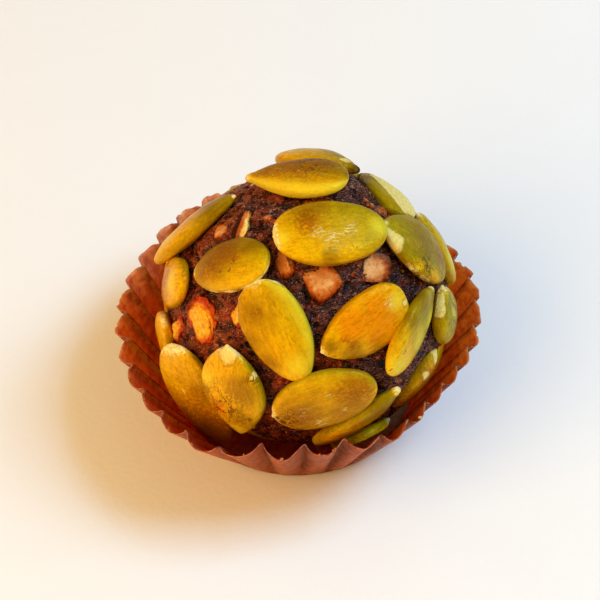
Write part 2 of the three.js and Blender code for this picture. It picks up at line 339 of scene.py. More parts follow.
class Graph:
    """A node tree being wired: each call adds a node and gives back what it puts out."""

    def __init__(self, tree):
        self.tree = tree

    def add(self, kind, values=None, **settings):
        node = self.tree.nodes.new(kind)
        for key, value in settings.items():
            setattr(node, key, value)
        for key, value in (values or {}).items():
            if isinstance(value, bpy.types.NodeSocket):
                self.tree.links.new(value, node.inputs[key])
            else:
                node.inputs[key].default_value = value
        return node

    def mix(self, mask, a, b):
        """Colour a where the mask is 0 and colour b where it is 1. A whole number is 0xRRGGBB."""
        a, b = [srgb(c) if isinstance(c, int) else c for c in (a, b)]
        a, b = [c if isinstance(c, bpy.types.NodeSocket) else (*c, 1) for c in (a, b)]
        return self.add("ShaderNodeMix", {0: mask, 6: a, 7: b}, data_type="RGBA").outputs[2]

    def tint(self, base, value, low, high, colour, most=1.0):
        """The base, with more of the colour, at most this share, as the value runs low to high."""
        return self.mix(self.between(value, low, high, 0.0, most), base, colour)

    def between(self, value, low, high, start=0.0, end=1.0):
        """Runs smoothly from start to end as the value runs from low to high."""
        values = {0: value, 1: low, 2: high, 3: start, 4: end}
        node = self.add("ShaderNodeMapRange", values, interpolation_type="SMOOTHSTEP")
        return node.outputs[0]

    def maths(self, operation, a, b=0.0):
        """The outcome of one operation on two numbers."""
        return self.add("ShaderNodeMath", {0: a, 1: b}, operation=operation).outputs[0]

    def times(self, a, b):
        return self.maths("MULTIPLY", a, b)

    def plus(self, a, b):
        return self.maths("ADD", a, b)

    def minus(self, a, b):
        return self.maths("SUBTRACT", a, b)

    def swing(self, value, reach):
        """How far a noise is above its middle, times this reach."""
        return self.times(self.minus(value, 0.5), reach)

    def thread(self, value):
        """0 along the middle of a noise, which makes thin winding lines, and more beside them."""
        return self.maths("ABSOLUTE", self.minus(value, 0.5))

    def noise(self, place, scale, detail=3.0, rough=0.5, distortion=0.0):
        values = {"Vector": place, "Scale": scale, "Detail": detail}
        values.update({"Roughness": rough, "Distortion": distortion})
        return self.add("ShaderNodeTexNoise", values).outputs[0]

    def value(self, name):
        """A number that the mesh holds at each of its points."""
        return self.add("ShaderNodeAttribute", attribute_name=name).outputs["Fac"]

    def vector(self, name):
        """Three numbers that the mesh holds at each of its points."""
        return self.add("ShaderNodeAttribute", attribute_name=name).outputs["Vector"]

    def stretched(self, place, scale):
        return self.add("ShaderNodeMapping", {"Vector": place, "Scale": scale}).outputs[0]

    def place(self):
        """Where a point is, in mm."""
        spot = self.add("ShaderNodeTexCoord").outputs["Object"]
        return self.stretched(spot, (1 / MM, 1 / MM, 1 / MM))

    def group(self, tree, place, **values):
        return self.add("ShaderNodeGroup", {"Place": place, **values}, node_tree=tree).outputs[0]

    def finish(self, base, roughness, height, bump, **values):
        """Ends a material in one shader, with a bump this high in mm."""
        normal = self.add("ShaderNodeBump", {"Height": height, "Distance": bump * MM})
        values = {key.replace("_", " "): value for key, value in values.items()}
        values.update({"Base Color": base, "Roughness": roughness, "Normal": normal.outputs[0]})
        shader = self.add("ShaderNodeBsdfPrincipled", values)
        self.add("ShaderNodeOutputMaterial", {"Surface": shader.outputs[0]})


def new_material(name):
    """A material without nodes, and the graph that wires it."""
    material = bpy.data.materials.new(name)
    material.use_nodes = True
    material.node_tree.nodes.clear()
    return material, Graph(material.node_tree)


def effect(name, inputs, output, wire):
    """The node group of this name: a place and these numbers come in, and one number goes out.

    It is built by wire the first time that it is asked for.
    """
    if name in bpy.data.node_groups:
        return bpy.data.node_groups[name]
    tree = bpy.data.node_groups.new(name, "ShaderNodeTree")
    tree.interface.new_socket("Place", in_out="INPUT", socket_type="NodeSocketVector")
    for key, default in inputs.items():
        socket = tree.interface.new_socket(key, in_out="INPUT", socket_type="NodeSocketFloat")
        socket.default_value = default
    tree.interface.new_socket(output, in_out="OUTPUT", socket_type="NodeSocketFloat")
    graph = Graph(tree)
    given = graph.add("NodeGroupInput").outputs
    graph.add("NodeGroupOutput", {0: wire(graph, given)})
    return tree


def per_mm(graph, size):
    """The noise scale whose bumps are about this size."""
    return graph.maths("DIVIDE", 1.0, size)


def wire_mottling(graph, given):
    """A soft noise, cut between two levels that leave the share of it asked for."""
    soft = graph.noise(given["Place"], per_mm(graph, given["Size"]), 4.0, 0.6, 0.4)
    middle = graph.minus(1.0, given["Share"])
    middle = graph.add("ShaderNodeMapRange", {0: middle, 3: 0.3, 4: 0.7}).outputs[0]
    half = graph.add("ShaderNodeMapRange", {0: given["Contrast"], 3: 0.25, 4: 0.02}).outputs[0]
    return graph.between(soft, graph.minus(middle, half), graph.plus(middle, half))


def mottling():
    """Soft uneven patches. Contrast sharpens them, and Share is how much of the surface they take."""
    inputs = {"Size": 2.0, "Contrast": 0.5, "Share": 0.5}
    return effect("Mottling", inputs, "Mask", wire_mottling)


def wire_specks(graph, given):
    """The middles of small cells, as large as a slow noise lets them be."""
    scale = per_mm(graph, given["Size"])
    warp = graph.noise(given["Place"], scale, 2.0)
    shifted = graph.add("ShaderNodeVectorMath", {0: given["Place"], 1: warp}, operation="ADD")
    values = {"Vector": shifted.outputs[0], "Scale": graph.times(scale, 0.4)}
    cells = graph.add("ShaderNodeTexVoronoi", values).outputs["Distance"]
    drift = graph.noise(given["Place"], graph.times(scale, 0.08), 2.0)
    reach = graph.between(graph.plus(drift, given["Share"]), 0.7, 1.1, 0.0, 0.35)
    return graph.between(graph.minus(reach, cells), 0.0, 0.12)


def specks():
    """Small crisp spots, in drifts: Share is how much of the surface the drifts take."""
    return effect("Specks", {"Size": 0.2, "Share": 0.3}, "Mask", wire_specks)


def wire_fine_grain(graph, given):
    """One noise over another that is about five times coarser."""
    scale = per_mm(graph, given["Size"])
    fine = graph.noise(given["Place"], scale, 2.0, 0.5)
    coarse = graph.noise(given["Place"], graph.times(scale, 0.22), 3.0, 0.5, 0.6)
    return graph.plus(fine, graph.times(coarse, given["Coarse"]))


def fine_grain():
    """The height of a fine grain of this size over a coarser one."""
    return effect("Fine Grain", {"Size": 0.15, "Coarse": 0.5}, "Height", wire_fine_grain)


def seed_skin(graph, settings, grain, streaks, fine):
    """The colour of the skin: gold to green, toasted in patches, cream at the tip, with painted light
    and shade.
    """
    green = graph.plus(graph.value("green"), graph.times(streaks, 0.5))
    skin = graph.tint(settings.gold, green, 0.25, 1.15, settings.green)
    lemon = graph.group(mottling(), grain, Size=1.5, Contrast=0.2, Share=0.4)
    skin = graph.mix(graph.times(lemon, 0.4), skin, 0xF0C808)
    spots = graph.times(graph.value("toast"), graph.between(fine, 0.36, 0.6, 0.45, 1.15))
    skin = graph.tint(skin, spots, 0.1, 1.2, settings.toast, 0.85)
    ember = graph.times(graph.value("ember"), graph.between(fine, 0.35, 0.6, 0.8, 1.1))
    skin = graph.tint(skin, ember, 0.15, 0.9, 0xEE7C00, 0.68)
    lines = graph.noise(graph.stretched(grain, (0.4, 2.0, 2.0)), 1.8, 3.0, 0.6, 0.6)
    skin = graph.tint(skin, lines, 0.5, 0.36, 0x9A6400, 0.36)
    dusk = graph.group(mottling(), grain, Size=0.4, Contrast=0.4, Share=0.45)
    skin = graph.mix(graph.times(dusk, 0.32), skin, 0xA47600)
    # Painted shade along the seed's rim, over the thin darker outline of its own.
    skin = graph.mix(graph.times(graph.value("edge"), 0.4), skin, 0x6A5800)
    # Painted shade and painted light, in patches and along a lit edge.
    uneven = graph.swing(streaks, 0.7)
    shade = graph.plus(graph.value("shade"), uneven)
    skin = graph.tint(skin, shade, 0.1, 1.15, 0x764A00, 0.62)
    light = graph.plus(graph.value("light"), uneven)
    skin = graph.tint(skin, light, 0.15, 1.2, 0xF2DE3C, 0.66)
    dots = graph.group(specks(), grain, Size=0.3, Share=0.26)
    skin = graph.mix(graph.times(dots, 0.7), skin, 0x5E2A04)
    cap = graph.plus(graph.value("cap"), graph.swing(fine, 2.0))
    skin = graph.tint(skin, cap, 0.2, 0.8, 0xE8BC48, 0.8)
    return graph.tint(skin, cap, 0.7, 1.0, 0xFCEDB4, 0.9)


def seed_material(settings):
    """A hulled pumpkin seed: its skin, worn through in flecks and peeled off cream flesh."""
    material, graph = new_material("Pumpkin seed skin")
    grain = graph.vector("grain")
    streaks = graph.noise(graph.stretched(grain, (0.3, 1.5, 1.5)), 1.5, 4.0, 0.6, 0.4)
    fine = graph.noise(grain, 3.2, 4.0, 0.65, 0.3)
    skin = seed_skin(graph, settings, grain, streaks, fine)
    dashes = graph.noise(graph.stretched(grain, (0.8, 2.6, 2.6)), 2.0, 4.0, 0.7, 0.5)
    fleck = graph.plus(graph.value("fleck"), graph.swing(dashes, 3.0))
    fleck = graph.between(fleck, 0.8, 1.2, 0.0, 0.7)
    skin = graph.mix(fleck, skin, settings.flesh)
    torn = graph.noise(grain, 1.4, 4.0, 0.6, 0.8)
    peel = graph.plus(graph.value("peel"), graph.minus(torn, 0.5))
    bare = graph.between(peel, 0.4, 0.8, 0.0, 0.9)
    lip = graph.minus(graph.between(peel, 0.3, 0.48), bare)
    skin = graph.mix(graph.times(lip, 0.45), skin, 0x7A4204)
    flesh = graph.tint(settings.flesh, fine, 0.42, 0.6, 0xE0C050, 0.6)
    base = graph.mix(bare, skin, flesh)
    line = graph.thread(graph.noise(grain, 0.8, 1.5, 0.5, 1.6))
    crack = graph.times(graph.value("cracked"), graph.between(line, 0.045, 0.015))
    base = graph.mix(graph.times(crack, 0.8), base, 0x5A2A04)
    base = graph.mix(graph.value("char"), base, 0x4A2006)
    rough = graph.plus(graph.between(streaks, 0.3, 0.7, 0.3, 0.44), graph.times(bare, 0.25))
    height = graph.group(fine_grain(), grain, Size=0.3, Coarse=1.0)
    height = graph.minus(height, graph.times(crack, 1.2))
    height = graph.plus(height, graph.times(fleck, 0.4))
    shine = {"Specular_IOR_Level": 0.5, "Specular_Tint": (1, 0.8, 0.12, 1)}
    glow = {"Subsurface_Weight": 0.15, "Subsurface_Scale": 0.001, "Subsurface_Radius": (1, 0.8, 0.2)}
    graph.finish(base, rough, height, 0.09, **glow, **shine)
    return material


def dough_material(settings):
    """Sticky date paste over chopped nut: painted shade near black in the creases and on its dark side,
    orange where it is thin, partly painted light.
    """
    material, graph = new_material("Date dough")
    place = graph.place()
    relief = graph.value("relief")
    patches = graph.group(mottling(), place, Size=3.0, Contrast=0.4, Share=0.5)
    threads = graph.noise(place, 1.6, 6.0, 0.75, 2.0)
    paste = graph.mix(patches, settings.date, 0x4A100A)
    smears = graph.noise(graph.stretched(place, (0.5, 1.0, 0.8)), 0.7, 4.0, 0.6, 1.2)
    # Painted shade on the dark side: fewer orange smears, and purple black paste.
    smears = graph.minus(smears, graph.times(graph.value("dark"), 0.2))
    paste = graph.tint(paste, smears, 0.44, 0.6, 0xC45806, 0.65)
    paste = graph.mix(graph.times(graph.value("dark"), 0.5), paste, 0x2E1018)
    # Painted shade down in the creases, and paler orange on the ridges, partly painted light.
    rise = graph.plus(relief, graph.swing(threads, 3.0))
    paste = graph.tint(paste, rise, 0.1, -0.6, settings.deep)
    paste = graph.tint(paste, rise, 0.3, 1.1, settings.raised, 0.8)
    tint = graph.value("tint")
    nut = graph.tint(0xB4480C, tint, 0.2, 0.8, settings.nut)
    soft = graph.swing(threads, 2.6)
    shown = graph.plus(graph.value("chunk"), soft)
    paste = graph.tint(paste, shown, 0.15, 0.6, 0xA23806, 0.9)
    paste = graph.tint(paste, shown, 0.5, 1.1, nut, 0.95)
    fibres = graph.noise(graph.stretched(place, (0.4, 1.3, 1.1)), 1.3, 3.0, 0.5, 1.4)
    ridge = graph.thread(fibres)
    grit = graph.noise(place, 5.0, 3.0, 0.7, 0.6)
    paste = graph.tint(paste, grit, 0.5, 0.34, settings.deep, 0.7)
    base = graph.tint(paste, ridge, 0.03, 0.0, 0xCC9070, 0.75)
    shine = graph.group(mottling(), place, Size=0.5, Contrast=0.6, Share=0.5)
    rough = graph.between(shine, 0.0, 1.0, 0.45, 0.12)
    height = graph.group(fine_grain(), place, Size=0.22, Coarse=1.4)
    height = graph.plus(height, graph.between(ridge, 0.08, 0.0, 0.0, 0.5))
    graph.finish(base, rough, height, 0.22, Specular_IOR_Level=0.55)
    return material


def nut_material(settings):
    """Chopped nut: tan flesh, stained where the paste has soaked in and round its edge."""
    material, graph = new_material("Nut flesh")
    place = graph.place()
    soak = graph.noise(place, 0.75, 5.0, 0.7, 1.2)
    fine = graph.noise(place, 3.0, 4.0, 0.7, 0.6)
    uneven = graph.swing(soak, 2.4)
    stain = graph.plus(graph.value("soaked"), uneven)
    broad = graph.noise(place, 0.45, 2.0, 0.5, 0.5)
    flesh = graph.tint(settings.nut, broad, 0.42, 0.58, 0xE8B070)
    flesh = graph.tint(flesh, fine, 0.55, 0.35, 0xC88038, 0.5)
    flesh = graph.mix(graph.value("pale"), flesh, 0xFFD070)
    stain = graph.minus(stain, graph.times(graph.value("pale"), 0.6))
    base = graph.tint(flesh, stain, -0.1, 0.6, 0xC46C28)
    base = graph.tint(base, stain, 0.4, 1.0, settings.nut_skin)
    base = graph.tint(base, stain, 0.8, 1.5, 0x401006)
    base = graph.tint(base, fine, 0.4, 0.3, 0x8A3C10, 0.4)
    rough = graph.between(soak, 0.3, 0.7, 0.45, 0.25)
    height = graph.group(fine_grain(), place, Size=0.5, Coarse=1.0)
    shine = {"Specular_IOR_Level": 0.28, "Specular_Tint": (1, 0.8, 0.4, 1)}
    glow = {"Subsurface_Weight": 0.2, "Subsurface_Scale": 0.001, "Subsurface_Radius": (1, 0.7, 0.3)}
    graph.finish(base, rough, height, 0.12, **glow, **shine)
    return material


def fruit_material(settings):
    """Dried fruit: a red orange ring round a paler, veined middle, dark where it is sunk."""
    material, graph = new_material("Dried fruit")
    place = graph.place()
    veins = graph.noise(place, 1.3, 5.0, 0.65, 1.2)
    uneven = graph.swing(veins, 2.2)
    core = graph.plus(graph.value("core"), uneven)
    base = graph.tint(settings.fruit, core, 0.1, 0.8, settings.fruit_core)
    base = graph.tint(base, graph.value("vein"), 0.3, 0.9, 0xF6D878, 0.8)
    dark = graph.group(mottling(), place, Size=0.5, Contrast=0.3, Share=0.4)
    base = graph.mix(graph.times(dark, 0.5), base, 0xB84006)
    sunk = graph.plus(graph.value("soaked"), uneven)
    base = graph.tint(base, sunk, 0.9, 1.5, 0xA02C04)
    height = graph.group(fine_grain(), place, Size=0.25, Coarse=1.5)
    rough = graph.between(dark, 0.0, 1.0, 0.4, 0.26)
    shine = {"Specular_IOR_Level": 0.4, "Specular_Tint": (1, 0.8, 0.5, 1)}
    glow = {"Subsurface_Weight": 0.2, "Subsurface_Scale": 0.001, "Subsurface_Radius": (1, 0.5, 0.15)}
    graph.finish(base, rough, height, 0.14, **glow, **shine)
    return material


def paper_material(settings):
    """Greaseproof brown paper: inside painted warm as light shining through, duller outside, painted
    shade in the creases.
    """
    material, graph = new_material("Fluted paper")
    place = graph.place()
    wide = graph.group(mottling(), place, Size=2.4, Contrast=0.3, Share=0.5)
    fine = graph.group(mottling(), place, Size=0.45, Contrast=0.4, Share=0.5)
    outside = graph.mix(graph.times(wide, 0.7), settings.outside, 0x6E3C38)
    inside = graph.mix(graph.times(wide, 0.7), settings.inside, 0xDC9058)
    # Painted shade darkens the inside at the front, and low down there a painted red glow stands for
    # light shining through the paper.
    shade = graph.between(graph.value("front"), 0.2, 0.8, 0.0, 0.75)
    inside = graph.mix(shade, inside, 0x7E3414)
    deep = graph.times(shade, graph.between(graph.value("up"), 0.5, 0.1, 0.0, 1.3))
    inside = graph.mix(deep, inside, 0xF4481A)
    paper = graph.mix(graph.value("inside"), outside, inside)
    paper = graph.mix(graph.times(fine, 0.4), paper, 0xE08850)
    fibre = graph.noise(place, 1.2, 2.0, 0.5, 0.3)
    paper = graph.tint(paper, fibre, 0.58, 0.34, 0x7E3812, 0.35)
    # Painted shade: a little darker towards the foot.
    paper = graph.tint(paper, graph.value("up"), 0.9, 0.2, 0x8A3810, 0.1)
    # Painted shade beside the creases, broken up by the fibres.
    fold = graph.times(graph.value("fold"), graph.between(fibre, 0.3, 0.6, 0.95, 0.7))
    paper = graph.mix(fold, paper, settings.fold)
    grease = graph.noise(place, 0.7, 3.0, 0.6, 0.8)
    paper = graph.tint(paper, grease, 0.56, 0.66, 0x8A3C10, 0.3)
    # Painted highlight: the rim's edge is paler, as where it catches the light.
    rim_edge = graph.times(graph.value("edge"), graph.between(fine, 0.1, 0.9, 0.0, 0.6))
    base = graph.mix(rim_edge, paper, 0xB08A80)
    rough = graph.between(grease, 0.4, 0.66, 0.62, 0.42)
    height = graph.group(fine_grain(), place, Size=0.3, Coarse=1.2)
    shine = {"Specular_IOR_Level": 0.3, "Specular_Tint": (1, 0.75, 0.55, 1)}
    glow = {"Subsurface_Weight": 0.7, "Subsurface_Scale": 0.0006, "Subsurface_Radius": (1, 0.5, 0.14)}
    graph.finish(base, rough, height, 0.035, **glow, **shine)
    return material


def crumb_material():
    """Crumbs of nut, fruit and seed skin, each with a tint of its own."""
    material, graph = new_material("Crumb")
    place = graph.place()
    tint = graph.value("tint")
    base = graph.tint(0x6A1C08, tint, 0.3, 0.6, 0xB4500C)
    base = graph.tint(base, tint, 0.8, 0.9, 0xCC7C34)
    base = graph.tint(base, tint, 0.97, 0.98, 0xF0D694)
    patch = graph.group(mottling(), place, Size=0.4, Contrast=0.3, Share=0.4)
    base = graph.mix(graph.times(patch, 0.5), base, 0x4A1406)
    height = graph.group(fine_grain(), place, Size=0.15, Coarse=1.0)
    graph.finish(base, graph.between(patch, 0.0, 1.0, 0.5, 0.28), height, 0.05)
    return material


def floor_material(settings):
    """A plain pale floor, barely uneven."""
    material, graph = new_material("Floor")
    place = graph.place()
    patch = graph.group(mottling(), place, Size=18.0, Contrast=0.1, Share=0.5)
    base = graph.mix(graph.times(patch, 0.06), settings.floor, 0xD8D6D4)
    height = graph.group(fine_grain(), place, Size=0.8, Coarse=1.0)
    graph.finish(base, graph.between(patch, 0.0, 1.0, 0.7, 0.8), height, 0.03)
    return material


# ---- Paper case ------------------------------------------------------------------------------------

COLUMNS_PER_FLUTE = 20
WALL_ROWS = 26
FLOOR_ROWS = 8
# How far up the wall each of its rows is, from 0 at the foot to 1 at the rim.
WALL_UPS = np.linspace(0, 1, WALL_ROWS) ** 0.9
# Where the rim bulges out: degrees to the left of the front, how wide in degrees, and mm.
RIM_BULGES = ((31, 17, 0.7), (-92, 14, 0.4), (-47, 16, -0.35))
FRONT_DRAWN_IN = 0.35
FRONT_RAISED = 0.5
# How far inside the CAD case the rim stays on its right, in mm.
RIGHT_MARGIN = 0.15
RIM_CHANCE = 3
RIM_RADIUS = 20
# How much shallower the flutes beside the front are, as a share.
FLATTER_BESIDE_FRONT = 0.45
# How much broader the flutes' outsides are at the left and right, and how far they lean there.
BROADER_AT_SIDES = 0.42
LEAN_AT_SIDES = 0.6
# The sizes in mm of what the paper shows: waves, nicks and tears along the rim, pleats and sway.
WAVE_SIZE = 3.0
NICK_SIZE = 0.9
TEAR_SIZE = 1.5
PLEAT_SIZE = 2.4
SWAY_SIZE = 5.0


def outward(points):
    """The level direction from the case's axis to each of these points."""
    level = points * (1, 1, 0)
    return level / np.linalg.norm(level, axis=-1, keepdims=True)


def case_columns():
    """The foot and the rim of the CAD case's outer wall, column by column, from a crease on.

    A flute has four columns of its own, of which the first is the crease before it.
    """
    points = cad_points("paper_case")
    rim = points[points[:, 2] > points[:, 2].max() / 2]
    foot = points[(points[:, 2] < 0.001) & (np.linalg.norm(points[:, :2], axis=1) > 1)]
    centre = rim[:, :2].mean(0)
    rim_bearing = np.arctan2(*(rim[:, :2] - centre).T[::-1])
    rim = rim[np.argsort(rim_bearing)].reshape(-1, 2, 3)
    reach = np.linalg.norm(rim[:, :, :2] - centre, axis=2)
    rim = rim[np.arange(len(rim)), reach.argmax(1)]
    foot = foot[np.argsort(np.arctan2(foot[:, 1], foot[:, 0]))]
    first = reach.max(1).reshape(-1, 4).mean(0).argmin()
    return np.roll(foot, -first, axis=0), np.roll(rim, -first, axis=0)


def arched(columns):
    """Finer columns: a smooth arch through the five points from each crease to the next."""
    flutes = len(columns) // 4
    steps = np.linspace(0, 1, COLUMNS_PER_FLUTE, endpoint=False)
    knots = np.linspace(0, 1, 5)
    weights = np.ones((len(steps), 5))
    for i in range(5):
        for j in range(5):
            if i != j:
                weights[:, i] *= (steps - knots[j]) / (knots[i] - knots[j])
    arches = [columns[np.arange(4 * k, 4 * k + 5) % len(columns)] for k in range(flutes)]
    return np.concatenate([weights @ arch for arch in arches])


def spread_round(values, index):
    """One value for each flute, as it is at these places round the rim, counted in flutes."""
    return np.interp(index, np.arange(len(values)), values, period=len(values))


def refluted(rim, spread):
    """The rim with its flutes made shallower by chance, each by its own share up to the spread.

    At the front a flute keeps its crease and its outside is drawn in, elsewhere the other way.
    The flutes are shallowest to the left and right of the front, and at the sides they lean
    towards the front. The rim is a little higher at the front.
    """
    flutes = len(rim) // COLUMNS_PER_FLUTE
    half = COLUMNS_PER_FLUTE // 2
    index = np.arange(len(rim)) / COLUMNS_PER_FLUTE
    middle = rim[:, :2].mean(0)
    reach = np.linalg.norm(rim[:, :2] - middle, axis=1)
    side = (rim[:, 0] - middle[0]) / reach
    forward = (middle[1] - rim[:, 1]) / reach
    front = smooth_step(forward, 0.92, 0.99)

    ease = 1 - spread * np.random.default_rng(RIM_CHANCE).random(flutes)
    ease = spread_round(ease, index - 0.5)
    ease = ease * (1 - FLATTER_BESIDE_FRONT * smooth_step(forward, 0.2, 0.6) * (1 - front))
    creases = spread_round(reach[::COLUMNS_PER_FLUTE], index)
    outsides = spread_round(reach[half::COLUMNS_PER_FLUTE], index - 0.5)
    kept = outsides + (creases - outsides) * front
    kept = kept + (reach - kept) * ease - FRONT_DRAWN_IN * front

    low = spread_round(kept[::COLUMNS_PER_FLUTE], index)
    high = spread_round(kept[half::COLUMNS_PER_FLUTE], index - 0.5)
    share = np.clip((kept - low) / np.maximum(high - low, 0.01), 0, 1)
    broader = BROADER_AT_SIDES * smooth_step(np.abs(side), 0.2, 0.7)
    kept = low + (high - low) * share ** (1 - broader)
    skew = 1 + LEAN_AT_SIDES * np.abs(side)
    turn = index % 1
    leant = np.where(side < 0, turn**skew, 1 - (1 - turn) ** skew)
    kept = np.interp(index - turn + leant, index, kept, period=flutes)
    from_front = np.degrees(np.arctan2(middle[0] - rim[:, 0], middle[1] - rim[:, 1]))
    for bearing, width, bulge in RIM_BULGES:
        kept = kept + bulge * np.exp(-(((from_front - bearing) / width) ** 2))
    new = rim.copy()
    new[:, :2] = middle + (rim[:, :2] - middle) * (kept / reach)[:, None]
    new[:, 0] = np.minimum(new[:, 0], rim[:, 0].max() - RIGHT_MARGIN)
    new[:, 2] += FRONT_RAISED * front
    return new


def softened(ring):
    """The ring with its creases rounded off a little."""
    return np.mean([np.roll(ring, k, axis=0) for k in (-1, 0, 1)], axis=0)


def respaced(ring):
    """The ring with its flutes wider at the front, and narrower to the left and right of that."""
    middle = ring.mean(0) * (1, 1, 0)
    x, y, z = (ring - middle).T
    from_front = np.arctan2(x, -y)
    turn = (0.22 * from_front + 0.02) * np.exp(-((from_front / 0.7) ** 2))
    turned = [x * np.cos(turn) - y * np.sin(turn), x * np.sin(turn) + y * np.cos(turn), z]
    return middle + np.stack(turned, axis=1)


def beside_crease(turn, aside, width):
    """1 a little to one side of each crease, fading to 0 over this width of a flute."""
    away = (turn - aside + 0.5) % 1 - 0.5
    return np.exp(-((away / width) ** 2))


def worn_down(rim, wear):
    """How far down the rim is worn at each of its points: in waves, with nicks and tears."""
    around = rim / np.linalg.norm(rim[:, :2], axis=1, keepdims=True) * RIM_RADIUS
    rim_edge = wear * (0.5 + 0.5 * noise_at(around, WAVE_SIZE, 2)) ** 1.5
    rim_edge += wear * smooth_step(noise_at(around, NICK_SIZE, 5), 0.3, 0.5) * 1.6
    rim_edge += wear * np.abs(noise_at(around, TEAR_SIZE, 7, 2)) * 1.5
    return rim_edge


def case_wall(settings):
    """The wall's outer points, row by row from the foot up, and where in its flute each column is."""
    foot, rim = (arched(columns) for columns in case_columns())
    rim = refluted(rim, settings.uneven)
    foot, rim = (respaced(softened(ring)) for ring in (foot, rim))
    rim = rim + (foot - rim) * (worn_down(rim, settings.wear / MM) / (rim - foot)[:, 2])[:, None]
    turn = np.arange(len(rim)) / COLUMNS_PER_FLUTE % 1
    half = COLUMNS_PER_FLUTE // 2
    plain = np.mean([np.roll(rim, k, axis=0) for k in range(-half, half)], axis=0)
    rows = []
    for up in WALL_UPS:
        row = foot + (rim - foot) * up + (rim - plain) * (1, 1, 0) * (up**0.4 - up)
        out = outward(row)
        pleats = noise_at(row * (1, 1, 0.35), PLEAT_SIZE, 1, 2)
        crinkle = np.abs(pleats) * settings.crinkle / MM * min(1, up * 4)
        sway = noise_at(row, SWAY_SIZE, 4, 2) * settings.sway / MM * smooth_step(up, 0, 0.7)
        aside = np.cross((0, 0, 1), out) * sway[:, None]
        tuck = settings.tuck / MM * beside_crease(turn, 0.05, 0.06) * smooth_step(up, 0, 0.4)
        rows.append(row - out * (crinkle + tuck)[:, None] + aside)
    return np.array(rows), turn


def fold_shade_rows(turn, inside, up):
    """How much painted shade each point of each row has beside the creases, inside the case and
    outside, fading towards the foot.
    """
    crease = np.abs(np.cos(turn * math.pi))
    within = np.clip(0.15 * (1 - crease) ** 1.4 + beside_crease(turn, 0.08, 0.16), 0, 1)
    without = 1.4 * beside_crease(turn, 0.06, 0.035) + 0.8 * beside_crease(turn, 0.16, 0.11)
    without = np.clip(without + 0.15 * crease**4, 0, 1)
    folds = np.array([within if side else without for side in inside])
    return folds * np.array(up)[:, None] ** 0.35


def per_row(values, count):
    """Each row's value at all its points, of which there are this many, and then at the poles."""
    return np.concatenate([np.repeat(values, count), [values[0], values[-1]]])


def case_mesh(settings):
    """The case as one closed skin: up the outside, over the rim, down the inside, over the floor."""
    outer, turn = case_wall(settings)
    paper = settings.thickness / MM
    inner = outer - outward(outer) * paper
    inner[:, :, 2] = np.maximum(inner[:, :, 2], paper)
    shrink = np.linspace(1, 0, FLOOR_ROWS + 1)[:-1] ** 0.6
    under = [outer[0] * (s, s, 1) for s in shrink[::-1][:-1]]
    over = [inner[0] * (s, s, 1) for s in shrink[1:]]
    rows = [*under, *outer, *inner[::-1], *over]
    up = [*[0] * len(under), *WALL_UPS, *WALL_UPS[::-1], *[0] * len(over)]
    inside = [*[0] * (len(under) + WALL_ROWS), *[1] * (WALL_ROWS + len(over))]
    rim_rows = (len(under) + WALL_ROWS - 1, len(under) + WALL_ROWS)
    edge = [float(row in rim_rows) for row in range(len(rows))]
    points = np.concatenate([*rows, [[0, 0, 0]], [[0, 0, paper]]])
    values = {
        "up": per_row(up, len(turn)),
        "inside": per_row(inside, len(turn)),
        "front": -points[:, 1] / np.maximum(np.linalg.norm(points[:, :2], axis=1), 1),
        "edge": per_row(edge, len(turn)),
        "fold": np.concatenate([fold_shade_rows(turn, inside, up).ravel(), [0, 0]]),
    }
    return points, ringed_faces(len(rows), len(turn)), values


# ---- Dough -----------------------------------------------------------------------------------------

DOUGH_GRID = 126
# The sizes in mm of what the dough shows: broad and small lumps, chopped nuts, the wrinkles of
# the date skins, grains, and how its side of painted shade runs out.
LUMP_SIZES = (5.0, 2.0)
CHUNK_SIZE = 2.3
WRINKLE_SIZE = 1.0
GRAIN_SIZE = 0.5
DARK_SIZE = 4.0
# The sizes of the two noises that bend the edges of the chopped nuts.
WARP_SIZE = 2.2
FRAY_SIZE = 0.8
# How far from a seed's middle the dough is pressed in, and the gap that it leaves, in mm.
PRESS_REACH = 3
PRESS_GAP = 0.05


